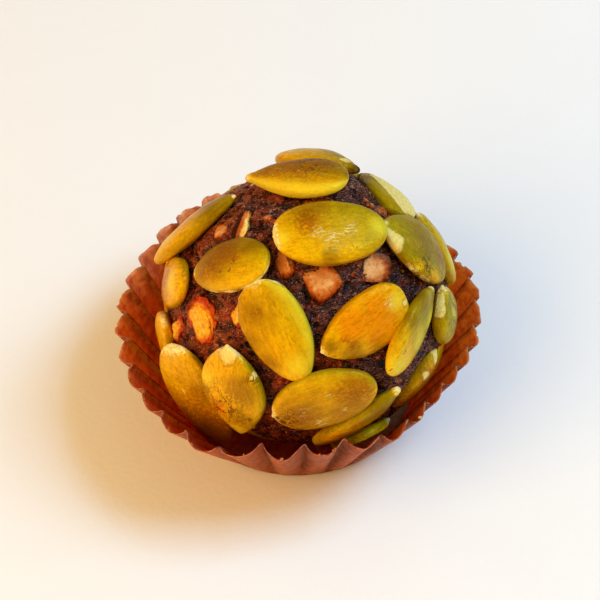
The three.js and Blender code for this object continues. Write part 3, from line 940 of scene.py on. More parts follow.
def dough_points(settings, ball, lies):
    """The ball's surface with its lumps, chopped nuts and wrinkles, pressed in under the seeds."""
    ways, quads = round_grid(DOUGH_GRID)
    smooth = ways * ball.radius(ways)[:, None]
    warp = np.stack([noise_at(smooth, WARP_SIZE, k) for k in (20, 21, 22)], axis=1)
    frayed = np.stack([noise_at(smooth, FRAY_SIZE, k) for k in (24, 25, 26)], axis=1)
    broad, small = LUMP_SIZES
    lumps = 0.6 * noise_at(smooth, broad, 1) + 0.5 * noise_at(smooth, small, 2, 2)
    inward, own = cells_at(smooth + warp * 1.3 + frayed * 0.4, CHUNK_SIZE)
    # More chopped nut shows on the left, which also paints that side paler and warmer as painted light.
    share = 0.42 - 0.42 * ways[:, 0] + 0.16 * noise_at(smooth, broad, 9)
    body = smooth_step(inward, 0.0, 0.6) * smooth_step(share - own[:, 0], 0.0, 0.1)
    wrinkles = 1 - 2.4 * np.abs(noise_at(smooth + warp * 0.8, WRINKLE_SIZE, 6, 3))
    grains = noise_at(smooth, GRAIN_SIZE, 12, 2)
    rise = (
        settings.lumps / MM * lumps
        + settings.chunks / MM * body * (0.4 + own[:, 1])
        + settings.wrinkles / MM * (wrinkles - 0.5) * (1 - 0.4 * body)
        + 0.4 * settings.wrinkles / MM * grains
    )
    points = ball.centre + ways * (ball.radius(ways) + rise)[:, None]
    for lie in lies:
        points = pressed_under(points, lie)
    points[:, 2] = np.maximum(points[:, 2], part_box("dough_ball")[0].z / MM)
    relief = np.clip(0.9 * wrinkles - 0.3 + 0.5 * lumps + 0.4 * grains, -1, 1)
    # Painted shade: a dark side to the right and higher up, with a ragged edge.
    dark = ways[:, 0] + 0.4 * ways[:, 2] + 0.3 * noise_at(smooth, DARK_SIZE, 13)
    dark = smooth_step(dark, -0.1, 0.6)
    return points, quads, {"relief": relief, "chunk": body, "tint": own[:, 2], "dark": dark}


def pressed_under(points, lie):
    """The points with those that a seed or bit would cover pushed in under it."""
    own = lie.to_own(points)
    half = lie.size / 2 * lie.grip
    along, across = own[:, 0] / half[0], own[:, 1] / half[1]
    cover = 1 - along**2 - across**2
    covered = (cover > 0) & (np.abs(own[:, 2]) < PRESS_REACH)
    depth = -half[2] * np.sqrt(np.clip(cover, 0, 1)) - PRESS_GAP
    low = covered & (own[:, 2] > depth)
    own[low, 2] = depth[low]
    moved = points.copy()
    moved[low] = lie.to_frame(own[low])
    return moved


# ---- Seeds -----------------------------------------------------------------------------------------

# The way that a seed's shaded side faces: painted shade browns it there, and painted light makes the
# other side less green.
SHADED_SIDE = np.array((0.1, 0.8, 0.59))
# Each seed's grain is this far from the last one's, in mm, so that no two look alike.
GRAIN_STEP = np.array([31.0, 17.0, 7.0])
FIRST_SEED_CHANCE = 100
RIM_CHIP = 0.2
# How full a seed's section is across and through: 1 is an oval, and less is fuller.
FULL_ACROSS = 0.93
FULL_THROUGH = 0.74
# How sharply two widths meet: more is sharper.
MEETING = 2.4

# How each seed looks. Green is how green its skin is, with how much greener it gets towards the
# tip and towards its left edge, seen from outside with the tip up. Toast is how browned it is.
# Lit is how much painted light pales its left edge, or its right edge where it is below 0.
# Cap is the length in mm of the cream end at the tip, blunt how broad that end is, and nub the
# size of its peg. Ends is how slowly it narrows to its back and to its tip.
# Fit is its length and its width over the CAD seed's, and how far it is shifted to its left and
# towards its tip in mm. Turned is how far its tip is swung to its left in degrees, and sunk how
# far it is pressed into the dough in mm, or lifted out of it where it is below 0.
# Strip is a strip bare of skin: its edge, 1 for the left, how far in and from where to where.
# Scratch is how far along the middle of a fine pale scratch is.
# The rest are patches: place along from -1 to the tip at 1, place across from -1 to the left
# edge at 1, and size. Light and shade are painted light and painted shade, paler and darker
# skin, and gilt is less green. Brown, ember and char are ever more toasted. Peel is bare of skin,
# flecks are specks of bare flesh and cracks are crazed. Rim is chips along the edge, which leave
# the size out, as it is RIM_CHIP.
SEED_LOOKS = {
    1: {"green": (0.45, 0.35, 0.3), "toast": 0.1, "peel": [(0.64, 0.0, 0.13)], "cap": 0.3,
        "char": [(1.0, -0.2, 0.16)], "blunt": 0, "nub": 1.0, "ends": (0.5, 0.8),
        "shade": [(0.3, 0.6, 0.3)], "fit": (0.97, 0.85, 0.3, -0.2)},
    2: {"green": (0.25, -0.35, -0.4), "toast": 0.3, "brown": [(0.2, -0.8, 0.4), (-0.2, -0.9, 0.4)],
        "cracks": [(-0.35, -0.5, 0.35)], "nub": 1.0, "cap": 0.7, "ends": (0.5, 0.82),
        "lit": 0.95, "shade": [(0.1, -0.6, 0.6), (-0.5, -0.4, 0.4), (0.6, -0.2, 0.3)],
        "fit": (0.98, 0.9, -0.5, 0.1)},
    3: {"green": (0.42, -0.3, -0.2), "toast": 0.12, "brown": [(0.4, -0.3, 0.2)],
        "flecks": [(0.0, 0.35, 0.28), (-0.3, 0.1, 0.25), (0.25, 0.1, 0.2)], "cap": 0.7, "nub": 0.2,
        "blunt": 1, "shade": [(0.3, -0.7, 0.35), (0.1, 0.9, 0.2)],
        "light": [(-0.85, 0.0, 0.2), (0.9, 0.3, 0.16)], "fit": (1.0, 1.07, -0.1, 0.07)},
    4: {"green": (0.75, 0.1, 0.2), "toast": 0.05, "cap": 0.3, "shade": [(0.5, 0.8, 0.3)],
        "strip": (-1, -0.5, -1.0, 0.6), "ends": (0.5, 0.95), "fit": (1.04, 0.9, 0, 0.1)},
    5: {"green": (0.95, 0, -0.1), "toast": 0.1, "cracks": [(-0.1, 0.8, 0.25)],
        "strip": (1, 0.35, 0.5, 1.3),
        "gilt": [(0.0, 0.98, 0.14), (-0.5, 0.95, 0.16)], "brown": [(-0.7, -0.2, 0.2)],
        "rim": [(0.1, 0.95), (-0.3, 0.9)], "shade": [(-0.1, -0.2, 0.6), (-0.6, 0.1, 0.4)],
        "light": [(0.0, 1.0, 0.08)], "ends": (0.46, 0.62), "fit": (1.06, 1.1, 0.25, -0.4)},
    6: {"green": (0.65, 0, -0.2), "toast": 0.0, "cap": 0.5, "light": [(-0.2, 0.3, 0.4)]},
    7: {"green": (0.45, 0.4, -0.1), "toast": 0.0, "gilt": [(-0.3, 0.0, 0.4)], "cap": 0.2,
        "shade": [(0.6, 0.0, 0.5)], "light": [(-0.5, -0.2, 0.3), (-0.85, 0.0, 0.2)],
        "ends": (0.5, 0.75), "fit": (1.03, 1.06, 0.2, 0), "turned": 5},
    8: {"green": (0.45, -0.1, -0.3), "toast": 0.3,
        "brown": [(0.0, -0.3, 0.3), (0.3, 0.1, 0.22), (-0.3, -0.1, 0.12)],
        "rim": [(-0.9, 0.45), (-0.55, 0.9), (-0.1, 1.0), (-0.75, 0.75), (0.3, 1.0)], "cap": 0.9,
        "nub": 0.4, "shade": [(0.5, -0.2, 0.6), (0.0, -0.6, 0.5), (0.6, 0.5, 0.4), (-0.6, -0.6, 0.3)],
        "lit": 0.45, "ends": (0.47, 0.6), "fit": (0.98, 0.97, 0.3, 0.1)},
    9: {"green": (0.0, 0.2, 0), "toast": 0.6, "brown": [(0.3, 0.1, 0.5), (-0.3, -0.3, 0.14)],
        "light": [(-0.6, 0.0, 0.3)], "shade": [(0.6, 0.0, 0.35)], "turned": -6},
    10: {"green": (0.36, 0.0, -0.3), "toast": 0.05, "flecks": [(0.9, 0.0, 0.1)],
         "brown": [(0.5, 0.3, 0.12)], "cap": 0.5, "nub": 0.2, "ends": (0.6, 0.46),
         "rim": [(0.8, 0.8), (0.55, 0.98), (0.8, -0.8), (0.92, 0.4), (0.92, -0.4), (0.3, 1.0)],
         "shade": [(0.5, 0.4, 0.4), (0.1, 0.85, 0.3), (-0.4, 0.8, 0.25)],
         "lit": -0.85, "light": [(-0.7, -0.2, 0.25)], "fit": (1.0, 1.03, -0.4, -0.06)},
    11: {"green": (0.0, 0.3, 0.1), "toast": 0.25, "brown": [(0.5, -0.15, 0.09), (0.4, 0.3, 0.12)],
         "ember": [(-0.3, -0.15, 0.5), (0.2, -0.4, 0.35), (-0.1, 0.3, 0.25)],
         "peel": [(-0.9, 0.2, 0.07)], "rim": [(0.9, 0.4), (0.6, 0.85), (0.2, 0.98)],
         "flecks": [(-0.6, -0.3, 0.2)], "shade": [(0.5, 0.7, 0.3), (0.0, 0.9, 0.25), (0.8, -0.2, 0.2)],
         "light": [(-0.75, -0.2, 0.2)], "ends": (0.42, 0.62), "nub": 0.4, "cap": 0.5,
         "fit": (1.0, 1.04, -0.1, -0.1)},
    12: {"green": (0.85, 0.4, -0.3), "toast": -0.2, "cap": 0.5, "nub": 1.1, "sunk": 0.4,
         "gilt": [(-0.85, 0.0, 0.4)], "shade": [(0.5, 0.8, 0.25), (0.0, 0.95, 0.2), (0.8, 0.0, 0.2)],
         "light": [(-0.1, -0.2, 0.25), (-0.85, 0.0, 0.4), (0.4, -0.4, 0.2)],
         "ends": (0.5, 0.52), "fit": (1.04, 1.02, 0.4, -0.2)},
    13: {"green": (0.85, 0, -0.1), "toast": -0.1, "strip": (1, 0.72, 0.2, 0.85),
         "cracks": [(0.0, -0.1, 0.5)], "shade": [(-0.3, -0.4, 0.4)], "sunk": 0.3,
         "light": [(0.1, -0.1, 0.25)], "fit": (0.84, 1.0, 0.6, -0.3)},
    14: {"green": (0.3, 0.2, 0.1), "toast": 0.5, "brown": [(-0.6, 0.1, 0.6)], "scratch": 0.2,
         "flecks": [(0.86, 0.0, 0.12)], "cap": 1.3, "nub": 0.3, "ends": (0.55, 0.5),
         "shade": [(-0.7, 0.0, 0.45), (0.2, -0.7, 0.3)], "fit": (1.14, 1.05, 0.1, -0.6)},
    15: {"green": (0.3, 0, -0.5), "toast": 0.1, "peel": [(0.84, -0.2, 0.17), (0.5, -1.0, 0.07)],
         "brown": [(-0.3, 0.5, 0.25)], "ember": [(-0.35, 0.45, 0.1)],
         "cracks": [(-0.3, 0.35, 0.36), (0.45, -0.9, 0.1)], "cap": 1.4, "nub": 0.6,
         "shade": [(0.2, -0.4, 0.35), (-0.5, -0.3, 0.25), (0.0, 0.9, 0.2)],
         "light": [(0.3, 0.8, 0.2), (-0.85, -0.2, 0.18)],
         "ends": (0.85, 0.74), "fit": (1.02, 1.08, -0.15, 0.0)},
    16: {"green": (0.35, -0.3, -0.2), "toast": 0.35, "blunt": 0.8, "nub": 0.5, "cap": 0.7,
         "flecks": [(0.35, 0.0, 0.12), (0.2, 0.65, 0.2), (-0.15, -0.3, 0.1), (-0.3, 0.4, 0.1)],
         "char": [(0.84, 0.4, 0.05), (0.9, 0.1, 0.04)], "cracks": [(0.7, 0.3, 0.2)],
         "brown": [(-0.6, -0.2, 0.3), (0.5, 0.2, 0.25)], "scratch": 0.6,
         "shade": [(0.4, 0.2, 0.6), (-0.3, 0.5, 0.6)],
         "lit": -0.4, "fit": (1.0, 1.1, -0.1, -0.1)},
    17: {"green": (0.7, 0.45, 0.1), "toast": 0.0, "cap": 0.6, "nub": 1.1, "gilt": [(-0.8, 0, 0.35)],
         "ends": (0.5, 0.7), "brown": [(0.1, 0.6, 0.16)], "light": [(-0.8, -0.1, 0.35)],
         "shade": [(0.5, 0.3, 0.35)], "fit": (1.06, 1.0, 0.3, 0.1)},
    18: {"green": (0.4, 0.1, 0), "toast": 0.3, "shade": [(0.0, 0.0, 0.6)],
         "fit": (0.85, 1.6, 0.3, -0.8), "sunk": -0.9},
    19: {"green": (0.4, 0, 0), "toast": 0.7, "peel": [(0.85, 0, 0.25), (0.3, 0.7, 0.14)],
         "brown": [(-0.6, 0, 0.5), (0.2, 0.0, 0.4)], "shade": [(-0.2, 0.0, 0.7)],
         "fit": (0.9, 1.0, 0, 0.2)},
    20: {"green": (0.6, 0, 0), "toast": 0.1},
    21: {"green": (0.6, 0, 0), "toast": 0.05},
    22: {"green": (0.0, 0, 0), "toast": 0.1},
}


def look_of(number, chance):
    """A placed seed's own look, or a look by chance for the rest."""
    if number in SEED_LOOKS:
        return SEED_LOOKS[number]
    look = {"green": (chance.uniform(0.1, 0.8), chance.uniform(-0.3, 0.3), 0.0)}
    look["toast"] = chance.uniform(0.0, 0.4)
    look["cap"] = chance.uniform(0.4, 1.4)
    look["blunt"] = chance.random()
    look["nub"] = chance.uniform(0.2, 1.0)
    if chance.random() < 0.5:
        look["peel"] = [(chance.uniform(-0.6, 0.6), chance.uniform(-0.8, 0.8), 0.15)]
    if chance.random() < 0.5:
        look["brown"] = [(chance.uniform(-0.5, 0.5), chance.uniform(-0.4, 0.4), 0.25)]
    return look


def swell(along, back, tip):
    """A seed's share of its full size at places along it, narrowing this slowly to each end."""
    widest = (back - tip) / (back + tip)
    peak = (1 + widest) ** back * (1 - widest) ** tip
    return np.clip(1 + along, 0, None) ** back * np.clip(1 - along, 0, None) ** tip / peak


def rounded_sum(a, b):
    """The larger of two half widths, with the change from one to the other rounded off."""
    return (a**MEETING + b**MEETING) ** (1 / MEETING)


class Seed:
    """A seed as it is shaped: a grid of places over its skin, and their points in its own axes.

    Along runs from -1 at its back to 1 at its tip, and across from -1 to 1 at its left edge, seen
    from outside with the tip up. Side is above 0 where the skin faces out of the ball.
    """

    def __init__(self, settings, lie, number):
        self.lie = lie
        self.chance = np.random.default_rng(FIRST_SEED_CHANCE + number)
        self.look = look_of(number, self.chance)
        self.lay_grid(settings)
        self.shape(settings.nub / MM)
        self.grain = self.own + GRAIN_STEP * number
        self.wrinkle(settings.relief / MM)

    def lay_grid(self, settings):
        """The places on the skin, ring by ring from the back, and then its two ends."""
        self.around = settings.around
        steps = np.linspace(0, math.pi, settings.along + 2)[1:-1]
        angles = np.linspace(0, 2 * math.pi, settings.around, endpoint=False)
        along, angle = np.meshgrid(-np.cos(steps), angles, indexing="ij")
        self.along = np.append(along.ravel(), [-1.0, 1.0])
        angle = np.append(angle.ravel(), [0.0, 0.0])
        self.across, self.side = np.cos(angle), np.sin(angle)
        self.across = np.sign(self.across) * np.abs(self.across) ** FULL_ACROSS

    def shape(self, nub):
        """The smooth seed: a lens between two curved edges, with a peg at the tip, a little bent."""
        look, along = self.look, self.along
        longer, wider, shift, ahead = look.get("fit", (1, 1, 0, 0))
        long, self.wide, self.thick = self.lie.size * (longer, wider, 1)
        nub = nub * look.get("nub", 0.6)
        self.from_tip = (1 - along) * long / 2
        knob = np.sqrt(np.clip(1 - ((self.from_tip - nub) / nub) ** 2, 0, 1)) * nub
        body = np.minimum((along + 1) / (1 - 0.8 * nub / long) - 1, 1)
        back, tip = look.get("ends", (0.5, 0.66 - 0.22 * look.get("blunt", 0.3)))
        half_width = rounded_sum(self.wide / 2 * swell(body, back, tip), knob)
        half_depth = rounded_sum(self.thick / 2 * swell(body, 0.42, 0.46), 0.8 * knob)
        self.lens = np.sign(self.side) * np.abs(self.side) ** FULL_THROUGH
        flat = half_width * self.across
        self.own = np.stack([along * long / 2 + ahead, flat, half_depth * self.lens], axis=1)
        self.own[:, 2] -= self.chance.uniform(0.05, 0.3) * along**2
        self.own[:, 2] -= look.get("sunk", 0)
        self.own[:, 1] += self.chance.uniform(-0.25, 0.25) * (along**2 - 0.3) + shift
        swing = math.radians(look.get("turned", 0))
        cos, sin = math.cos(swing), math.sin(swing)
        self.own[:, :2] = self.own[:, :2] @ [[cos, sin], [-sin, cos]]
        rings = slice(None, -2, self.around)
        self.outline = (along[rings], half_width[rings] / (long / 2))
        self.from_middle = flat / (long / 2)

    def near(self, patches):
        """How deep each place is in any of these patches: 1 in the middle, 0 well outside."""
        depth = np.zeros(len(self.along))
        for along, across, size in patches:
            aside = across * np.interp(along, *self.outline)
            away = np.hypot(self.along - along, self.from_middle - aside)
            depth = np.maximum(depth, np.exp(-((away / size) ** 2) / 1.4))
        return depth

    def patches(self, name):
        """How deep each place is in the patches of this name in the seed's look."""
        return self.near(self.look.get(name, []))

    def strip(self):
        """1 where the skin has come off along one edge."""
        if "strip" not in self.look:
            return np.zeros(len(self.along))
        edge, inner, low, high = self.look["strip"]
        start = smooth_step(self.along, low - 0.15, low + 0.15)
        end = smooth_step(-self.along, -high - 0.1, 0.1 - high)
        return smooth_step(edge * self.across, inner - 0.2, inner + 0.2) * (start * end)

    def wrinkle(self, relief):
        """Pushes the skin in and out: broad dents, fibres along it, torn edges and chips."""
        along, side = self.along, self.side
        self.ends = 1 - np.abs(along) ** 6
        broad = 0.1 * (noise_at(self.grain, 3.2, 1) - 0.5) * self.ends
        fibres = noise_at(self.grain * (0.25, 1.0, 1.0), 0.7, 2, 2)
        self.torn = np.maximum(self.patches("peel"), self.strip()) * (side > -0.3)
        frayed = noise_at(self.grain, 0.5, 4) * self.torn
        push = broad + relief * (0.6 * fibres + 0.3 * frayed - 0.5 * (self.torn > 0.5))
        chips = self.near([(*place, RIM_CHIP) for place in self.look.get("rim", [])])
        width = 0.22 + 0.25 * smooth_step(along, 0.6, 1)
        self.chips = chips * np.exp(-((side / width) ** 2))
        push += 0.2 * self.chips * (0.6 + noise_at(self.grain, 0.5, 8))
        flat = np.zeros(len(along))
        normal = np.stack([flat, self.across / self.wide, self.lens / self.thick], axis=1)
        normal /= np.maximum(np.linalg.norm(normal, axis=1, keepdims=True), 1e-6)
        # How far each place faces the shaded side, for the painted shade and painted light.
        self.toward_shade = normal @ self.lie.axes @ SHADED_SIDE
        self.own += normal * (push * self.ends)[:, None]
        self.own[:, 2] = np.minimum(self.own[:, 2], self.thick / 2)

    def greens(self):
        """How green the skin is: by its look, less where it is gilt, and less on its lit side as
        painted light.
        """
        green, to_tip, to_left = self.look["green"]
        greens = green + to_tip * self.along + to_left * self.across
        greens = greens + 0.18 * noise_at(self.grain, 3.0, 5)
        return greens - (1.2 * self.patches("gilt") + 0.35 * smooth_step(-self.toward_shade, 0, 1))

    def toasting(self):
        """How browned the skin is: by its look, in patches, and more on its shaded side as painted
        shade.
        """
        uneven = 0.6 + 0.6 * noise_at(self.grain, 2.0, 6)
        toast = self.look["toast"] * uneven + self.patches("brown")
        return toast + 0.42 * smooth_step(self.toward_shade, 0.05, 0.95)

    def flecks(self):
        """Where the skin has worn off in flecks, or along a scratch."""
        flecks = self.patches("flecks")
        if "scratch" not in self.look:
            return flecks
        aside = self.across - 0.1 - 0.2 * noise_at(self.grain, 2.0, 9)
        line = np.exp(-((aside / 0.06) ** 2))
        ends = np.exp(-(((self.along - self.look["scratch"]) / 0.3) ** 2))
        return np.maximum(flecks, 1.3 * line * ends)

    def values(self):
        """What the skin's material reads at each place."""
        look, grain, side = self.look, self.grain, self.side
        lit = look.get("lit", 0)
        lit_edge = abs(lit) * smooth_step(np.sign(lit) * self.across, 0.3, 0.95)
        peg = 0.75 * smooth_step(1 - self.from_tip / 0.4, -0.4, 0.6)
        return {
            "grain": grain,
            # Painted shade and painted light, in patches and along a lit edge.
            "shade": self.patches("shade") + 0.16 * noise_at(grain, 1.6, 11, 2),
            "light": np.maximum(self.patches("light"), lit_edge),
            "green": self.greens(),
            "toast": self.toasting(),
            "ember": self.patches("ember"),
            "char": self.patches("char"),
            "peel": np.maximum.reduce([self.torn, self.chips, peg]) * (side > -0.5),
            "cap": smooth_step(1 - self.from_tip / look.get("cap", 0.7), -0.6, 0.7),
            "fleck": self.flecks() * (side > -0.5),
            "cracked": self.patches("cracks"),
            # Painted shade along the rim, over its own thin darker outline.
            "edge": np.exp(-((side / 0.3) ** 2)) * self.ends,
        }


def seed_mesh(settings, lie, number):
    """A seed's points, faces and values, in the frame of the CAD model."""
    seed = Seed(settings, lie, number)
    return lie.to_frame(seed.own), ringed_faces(settings.along, settings.around), seed.values()


# ---- Nut, fruit and crumbs ---------------------------------------------------------------------------

CHUNK_GRID = 28
CRUMB_GRID = 4
# How each kind of bit is cut: its length, width and thickness over those of its CAD node, the
# number of cuts, how near its middle they come, how ragged it is, and how far down it is set in
# mm. A bit that is set down is also drawn together low down.
BIT_CUTS = {
    "nut": ((1.25, 1.3, 0.85), 9, 0.2, 0.14, 0.12),
    "nut_sliver": ((1.35, 1.0, 1.5), 0, 0.2, 0.3, 0),
    "fruit": ((1.3, 1.4, 1.05), 4, 0.75, 0.3, 0),
}
FIRST_BIT_CHANCE = 40
# The number of cuts that make a crumb, how near its middle they come, and how ragged it is.
CRUMB_CUTS = (7, 0.35, 0.25)
# How far out from the dough's surface the middle of a crumb can be, in mm.
CRUMB_REACH = (-0.2, 0.05)
CRUMB_CHANCE = 8
# The size of the smallest crumb, and how much larger a crumb can be, in mm.
SMALLEST_CRUMB = 0.2
CRUMB_SPREAD = 0.65
# Crumbs lie on the rim in front of this y, moved in by this share and up by this many mm.
RIM_CRUMBS_BEFORE = -9
RIM_CRUMBS_INWARD = (0.992, 0.992, 1)
RIM_CRUMBS_UP = 0.05
RIM_CRUMB_SIZES = (0.2, 0.42)
RIM_CRUMB_TINTS = (0.88, 1.0)


def chunk_points(size, chance, grid, cuts, depth, ragged):
    """A broken lump of this size: a ball cut off by planes, whose edges are then worn."""
    ways, quads = round_grid(grid)
    points = ways.copy()
    for _ in range(cuts):
        plane = chance.normal(size=3)
        plane /= np.linalg.norm(plane)
        over = points @ plane - chance.uniform(depth, 0.9)
        points -= np.outer(np.maximum(over, 0) * 0.92, plane)
    uneven = noise_at(points + chance.uniform(0, 9), 0.7, 1, 3 if grid > CRUMB_GRID else 1)
    points *= (1 + ragged * uneven)[:, None]
    low, high = points.min(0), points.max(0)
    return (points - (low + high) / 2) / (high - low) * size, ways, quads


def narrowed(points):
    """The points of a lump drawn together low down, so that it ends in a blunt point there."""
    middle = points.mean(0)
    high = (points[:, 2] - middle[2]) / np.ptp(points[:, 2]) * 2
    moved = points.copy()
    moved[:, 0] = middle[0] + (points[:, 0] - middle[0]) * (0.9 + 0.55 * high)
    return moved


def bit_mesh(node, ball, chance):
    """A piece of nut or dried fruit: its points, faces and values, in the frame of the CAD model."""
    lie = Lie(node, ball)
    fit, cuts, depth, ragged, sunk = BIT_CUTS.get(node) or BIT_CUTS[node.split("_")[0]]
    size = lie.size * fit
    shape, ways, faces = chunk_points(size, chance, CHUNK_GRID, cuts, depth, ragged)
    across = np.linalg.norm(shape[:, :2] / (size[:2] / 2), axis=1)
    bow = shape[:, 1] - 0.3 * np.sin(shape[:, 0] * 1.5)
    values = {
        "soaked": 1.3 * smooth_step(across, 0.25, 1.0) + (shape[:, 2] < 0),
        "core": 1 - smooth_step(across, 0.4, 0.95),
        "vein": np.exp(-((bow / 0.12) ** 2)) * (across < 0.6),
        "pale": np.full(len(ways), float(node == "nut_sliver")),
    }
    points = lie.to_frame(shape - (0, 0, sunk))
    return narrowed(points) if sunk else points, faces, values


def hides(lie, spot):
    """Whether a seed covers this spot, or nearly so."""
    own = lie.to_own(spot)
    return np.sum((own / (lie.size / 2 + 0.1))[:2] ** 2) <= 1 and own[2] >= -2.5


def crumb_spots(ball, lies, chance, count):
    """Places on the dough, clear of the seeds, for this many crumbs."""
    spots = []
    while len(spots) < count:
        way = chance.normal(size=3)
        way /= np.linalg.norm(way)
        radius = ball.radius(way[None])[0]
        spot = ball.centre + way * (radius + chance.uniform(*CRUMB_REACH))
        if not any(hides(lie, spot) for lie in lies):
            spots.append(spot)
    return spots


def rim_spots(settings, chance, count):
    """Places along the front of the case's rim for this many crumbs."""
    rim = case_wall(settings)[0][-1]
    front = rim[rim[:, 1] < RIM_CRUMBS_BEFORE]
    spots = front[chance.choice(len(front), count, replace=False)]
    return spots * RIM_CRUMBS_INWARD + (0, 0, RIM_CRUMBS_UP)


def crumbs_mesh(spots, sizes, own_tints, chance):
    """Crumbs of these sizes and tints at these spots, as one mesh."""
    points, faces, tints = [], [], []
    for spot, size, tint in zip(spots, sizes, own_tints):
        sides = size * chance.uniform(0.5, 1.4, 3)
        shape, _, quads = chunk_points(sides, chance, CRUMB_GRID, *CRUMB_CUTS)
        turn = np.linalg.qr(chance.normal(size=(3, 3)))[0]
        turn *= np.sign(np.linalg.det(turn))
        faces.append(quads + sum(map(len, points)))
        points.append(spot + shape @ turn)
        tints.append(np.full(len(shape), tint))
    return np.concatenate(points), np.concatenate(faces), {"tint": np.concatenate(tints)}


# ---- Operators -------------------------------------------------------------------------------------


def made(what, pieces):
    """What an operator gives back once it has made these pieces."""
    if not pieces:
        raise RuntimeError(f"No {what} could be made")
    return {"FINISHED"}


class ENERGYBALL_OT_paper_case(bpy.types.Operator):
    """Makes the fluted paper case"""

    bl_idname = "energy_ball.paper_case"
    bl_label = "Paper Case"

    def execute(self, context):
        settings = context.scene.energy_ball.case
        points, faces, values = case_mesh(settings)
        piece = new_piece("fluted_paper", points, faces, paper_material(settings), values)
        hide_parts("paper_case")
        return made("paper case", [piece])


class ENERGYBALL_OT_dough(bpy.types.Operator):
    """Makes the ball of date and nut dough"""

    bl_idname = "energy_ball.dough"
    bl_label = "Dough Ball"

    def execute(self, context):
        settings = context.scene.energy_ball.dough
        ball = Ball()
        names = nodes_named("pumpkin_seed") + nodes_named("nut") + nodes_named("fruit")
        points, faces, values = dough_points(settings, ball, [Lie(n, ball) for n in names])
        piece = new_piece("dough", points, faces, dough_material(settings), values)
        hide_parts("dough_ball")
        return made("dough ball", [piece])


class ENERGYBALL_OT_seeds(bpy.types.Operator):
    """Makes the pumpkin seeds, each where its CAD node lies"""

    bl_idname = "energy_ball.seeds"
    bl_label = "Pumpkin Seeds"

    def execute(self, context):
        settings = context.scene.energy_ball.seeds
        ball = Ball()
        material = seed_material(settings)
        for node in nodes_named("pumpkin_seed"):
            number = int(node.rsplit("_", 1)[1])
            points, faces, values = seed_mesh(settings, Lie(node, ball), number)
            piece = new_piece(f"seed_{number:02}", points, faces, material, values)
            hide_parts(node)
        return made("pumpkin seeds", nodes_named("pumpkin_seed"))


class ENERGYBALL_OT_bits(bpy.types.Operator):
    """Makes the larger pieces of nut and dried fruit"""

    bl_idname = "energy_ball.bits"
    bl_label = "Nut and Fruit Pieces"

    def execute(self, context):
        settings = context.scene.energy_ball.bits
        ball = Ball()
        materials = {"nut": nut_material(settings), "fruit": fruit_material(settings)}
        names = nodes_named("nut") + nodes_named("fruit")
        for index, node in enumerate(names):
            kind = node.split("_")[0]
            chance = np.random.default_rng(FIRST_BIT_CHANCE + index)
            points, faces, values = bit_mesh(node, ball, chance)
            piece = new_piece(f"{node}_look", points, faces, materials[kind], values)
            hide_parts(node)
        return made("nut and fruit pieces", names)


class ENERGYBALL_OT_crumbs(bpy.types.Operator):
    """Makes the small crumbs in the dough and on the case's rim"""

    bl_idname = "energy_ball.crumbs"
    bl_label = "Crumbs"

    def execute(self, context):
        settings = context.scene.energy_ball.bits
        ball = Ball()
        chance = np.random.default_rng(CRUMB_CHANCE)
        lies = [Lie(node, ball) for node in nodes_named("pumpkin_seed")]
        spots = crumb_spots(ball, lies, chance, settings.crumbs)
        growth = chance.random(len(spots)) ** 3
        sizes = SMALLEST_CRUMB + CRUMB_SPREAD * growth
        tints = chance.random(len(spots))
        spots += list(rim_spots(context.scene.energy_ball.case, chance, settings.rim_crumbs))
        sizes = np.append(sizes, chance.uniform(*RIM_CRUMB_SIZES, settings.rim_crumbs))
        tints = np.append(tints, chance.uniform(*RIM_CRUMB_TINTS, settings.rim_crumbs))
        points, faces, values = crumbs_mesh(spots, sizes, tints, chance)
        piece = new_piece("dough_crumbs", points, faces, crumb_material(), values)
        return made("crumbs", spots)


class ENERGYBALL_OT_stage(bpy.types.Operator):
    """Makes the floor, the lights and the camera"""

    bl_idname = "energy_ball.stage"
    bl_label = "Stage"

    def execute(self, context):
        settings = context.scene.energy_ball.stage
        make_floor(settings)
        make_lights(settings)
        return made("stage", [make_camera(settings)])


# ---- Stage -----------------------------------------------------------------------------------------

FLOOR_SIDE = 4000
# Each light: the setting that holds its tint, its place and the side of its square, in mm.
LIGHTS = {
    "key": ("warm", (-279, -218, 277), 350),
    "fill": ("cool", (257, 22, 369), 200),
    "front": ("warm", (-140, -400, 130), 200),
}
LIGHT_AIM = (0, 0, 15)
CAMERA_AIM = (0.45, 5.3, 8.0)


def make_floor(settings):
    """A level floor that the case stands on."""
    mesh = bpy.data.meshes.new("floor")
    half = FLOOR_SIDE / 2 * MM
    corners = [(-half, -half, 0), (half, -half, 0), (half, half, 0), (-half, half, 0)]
    mesh.from_pydata(corners, [], [(0, 1, 2, 3)])
    mesh.materials.append(floor_material(settings))
    floor = bpy.data.objects.new("floor", mesh)
    bpy.context.scene.collection.objects.link(floor)


def add_light(name, place, side, power, tint):
    """A square soft light at a place in mm, facing the part."""
    data = bpy.data.lights.new(name, "AREA")
    data.size = side * MM
    data.energy = power
    data.color = tint
    light = bpy.data.objects.new(name, data)
    light.location = Vector(place) * MM
    aim = Vector(LIGHT_AIM) * MM - light.location
    light.visible_camera = False
    light.rotation_euler = aim.to_track_quat("-Z", "Y").to_euler()
    bpy.context.scene.collection.objects.link(light)


def make_lights(settings):
    """A warm key light, a cool fill, a low front light and a soft light all round."""
    for name, (tint, place, side) in LIGHTS.items():
        add_light(name, place, side, getattr(settings, name), getattr(settings, tint))
    world = bpy.data.worlds.new("soft sky")
    world.use_nodes = True
    sky = world.node_tree.nodes["Background"]
    sky.inputs["Color"].default_value = (*settings.glow, 1)
    sky.inputs["Strength"].default_value = settings.sky
    bpy.context.scene.world = world
    bpy.context.scene.view_settings.view_transform = "Standard"
    bpy.context.scene.view_settings.look = "Medium High Contrast"


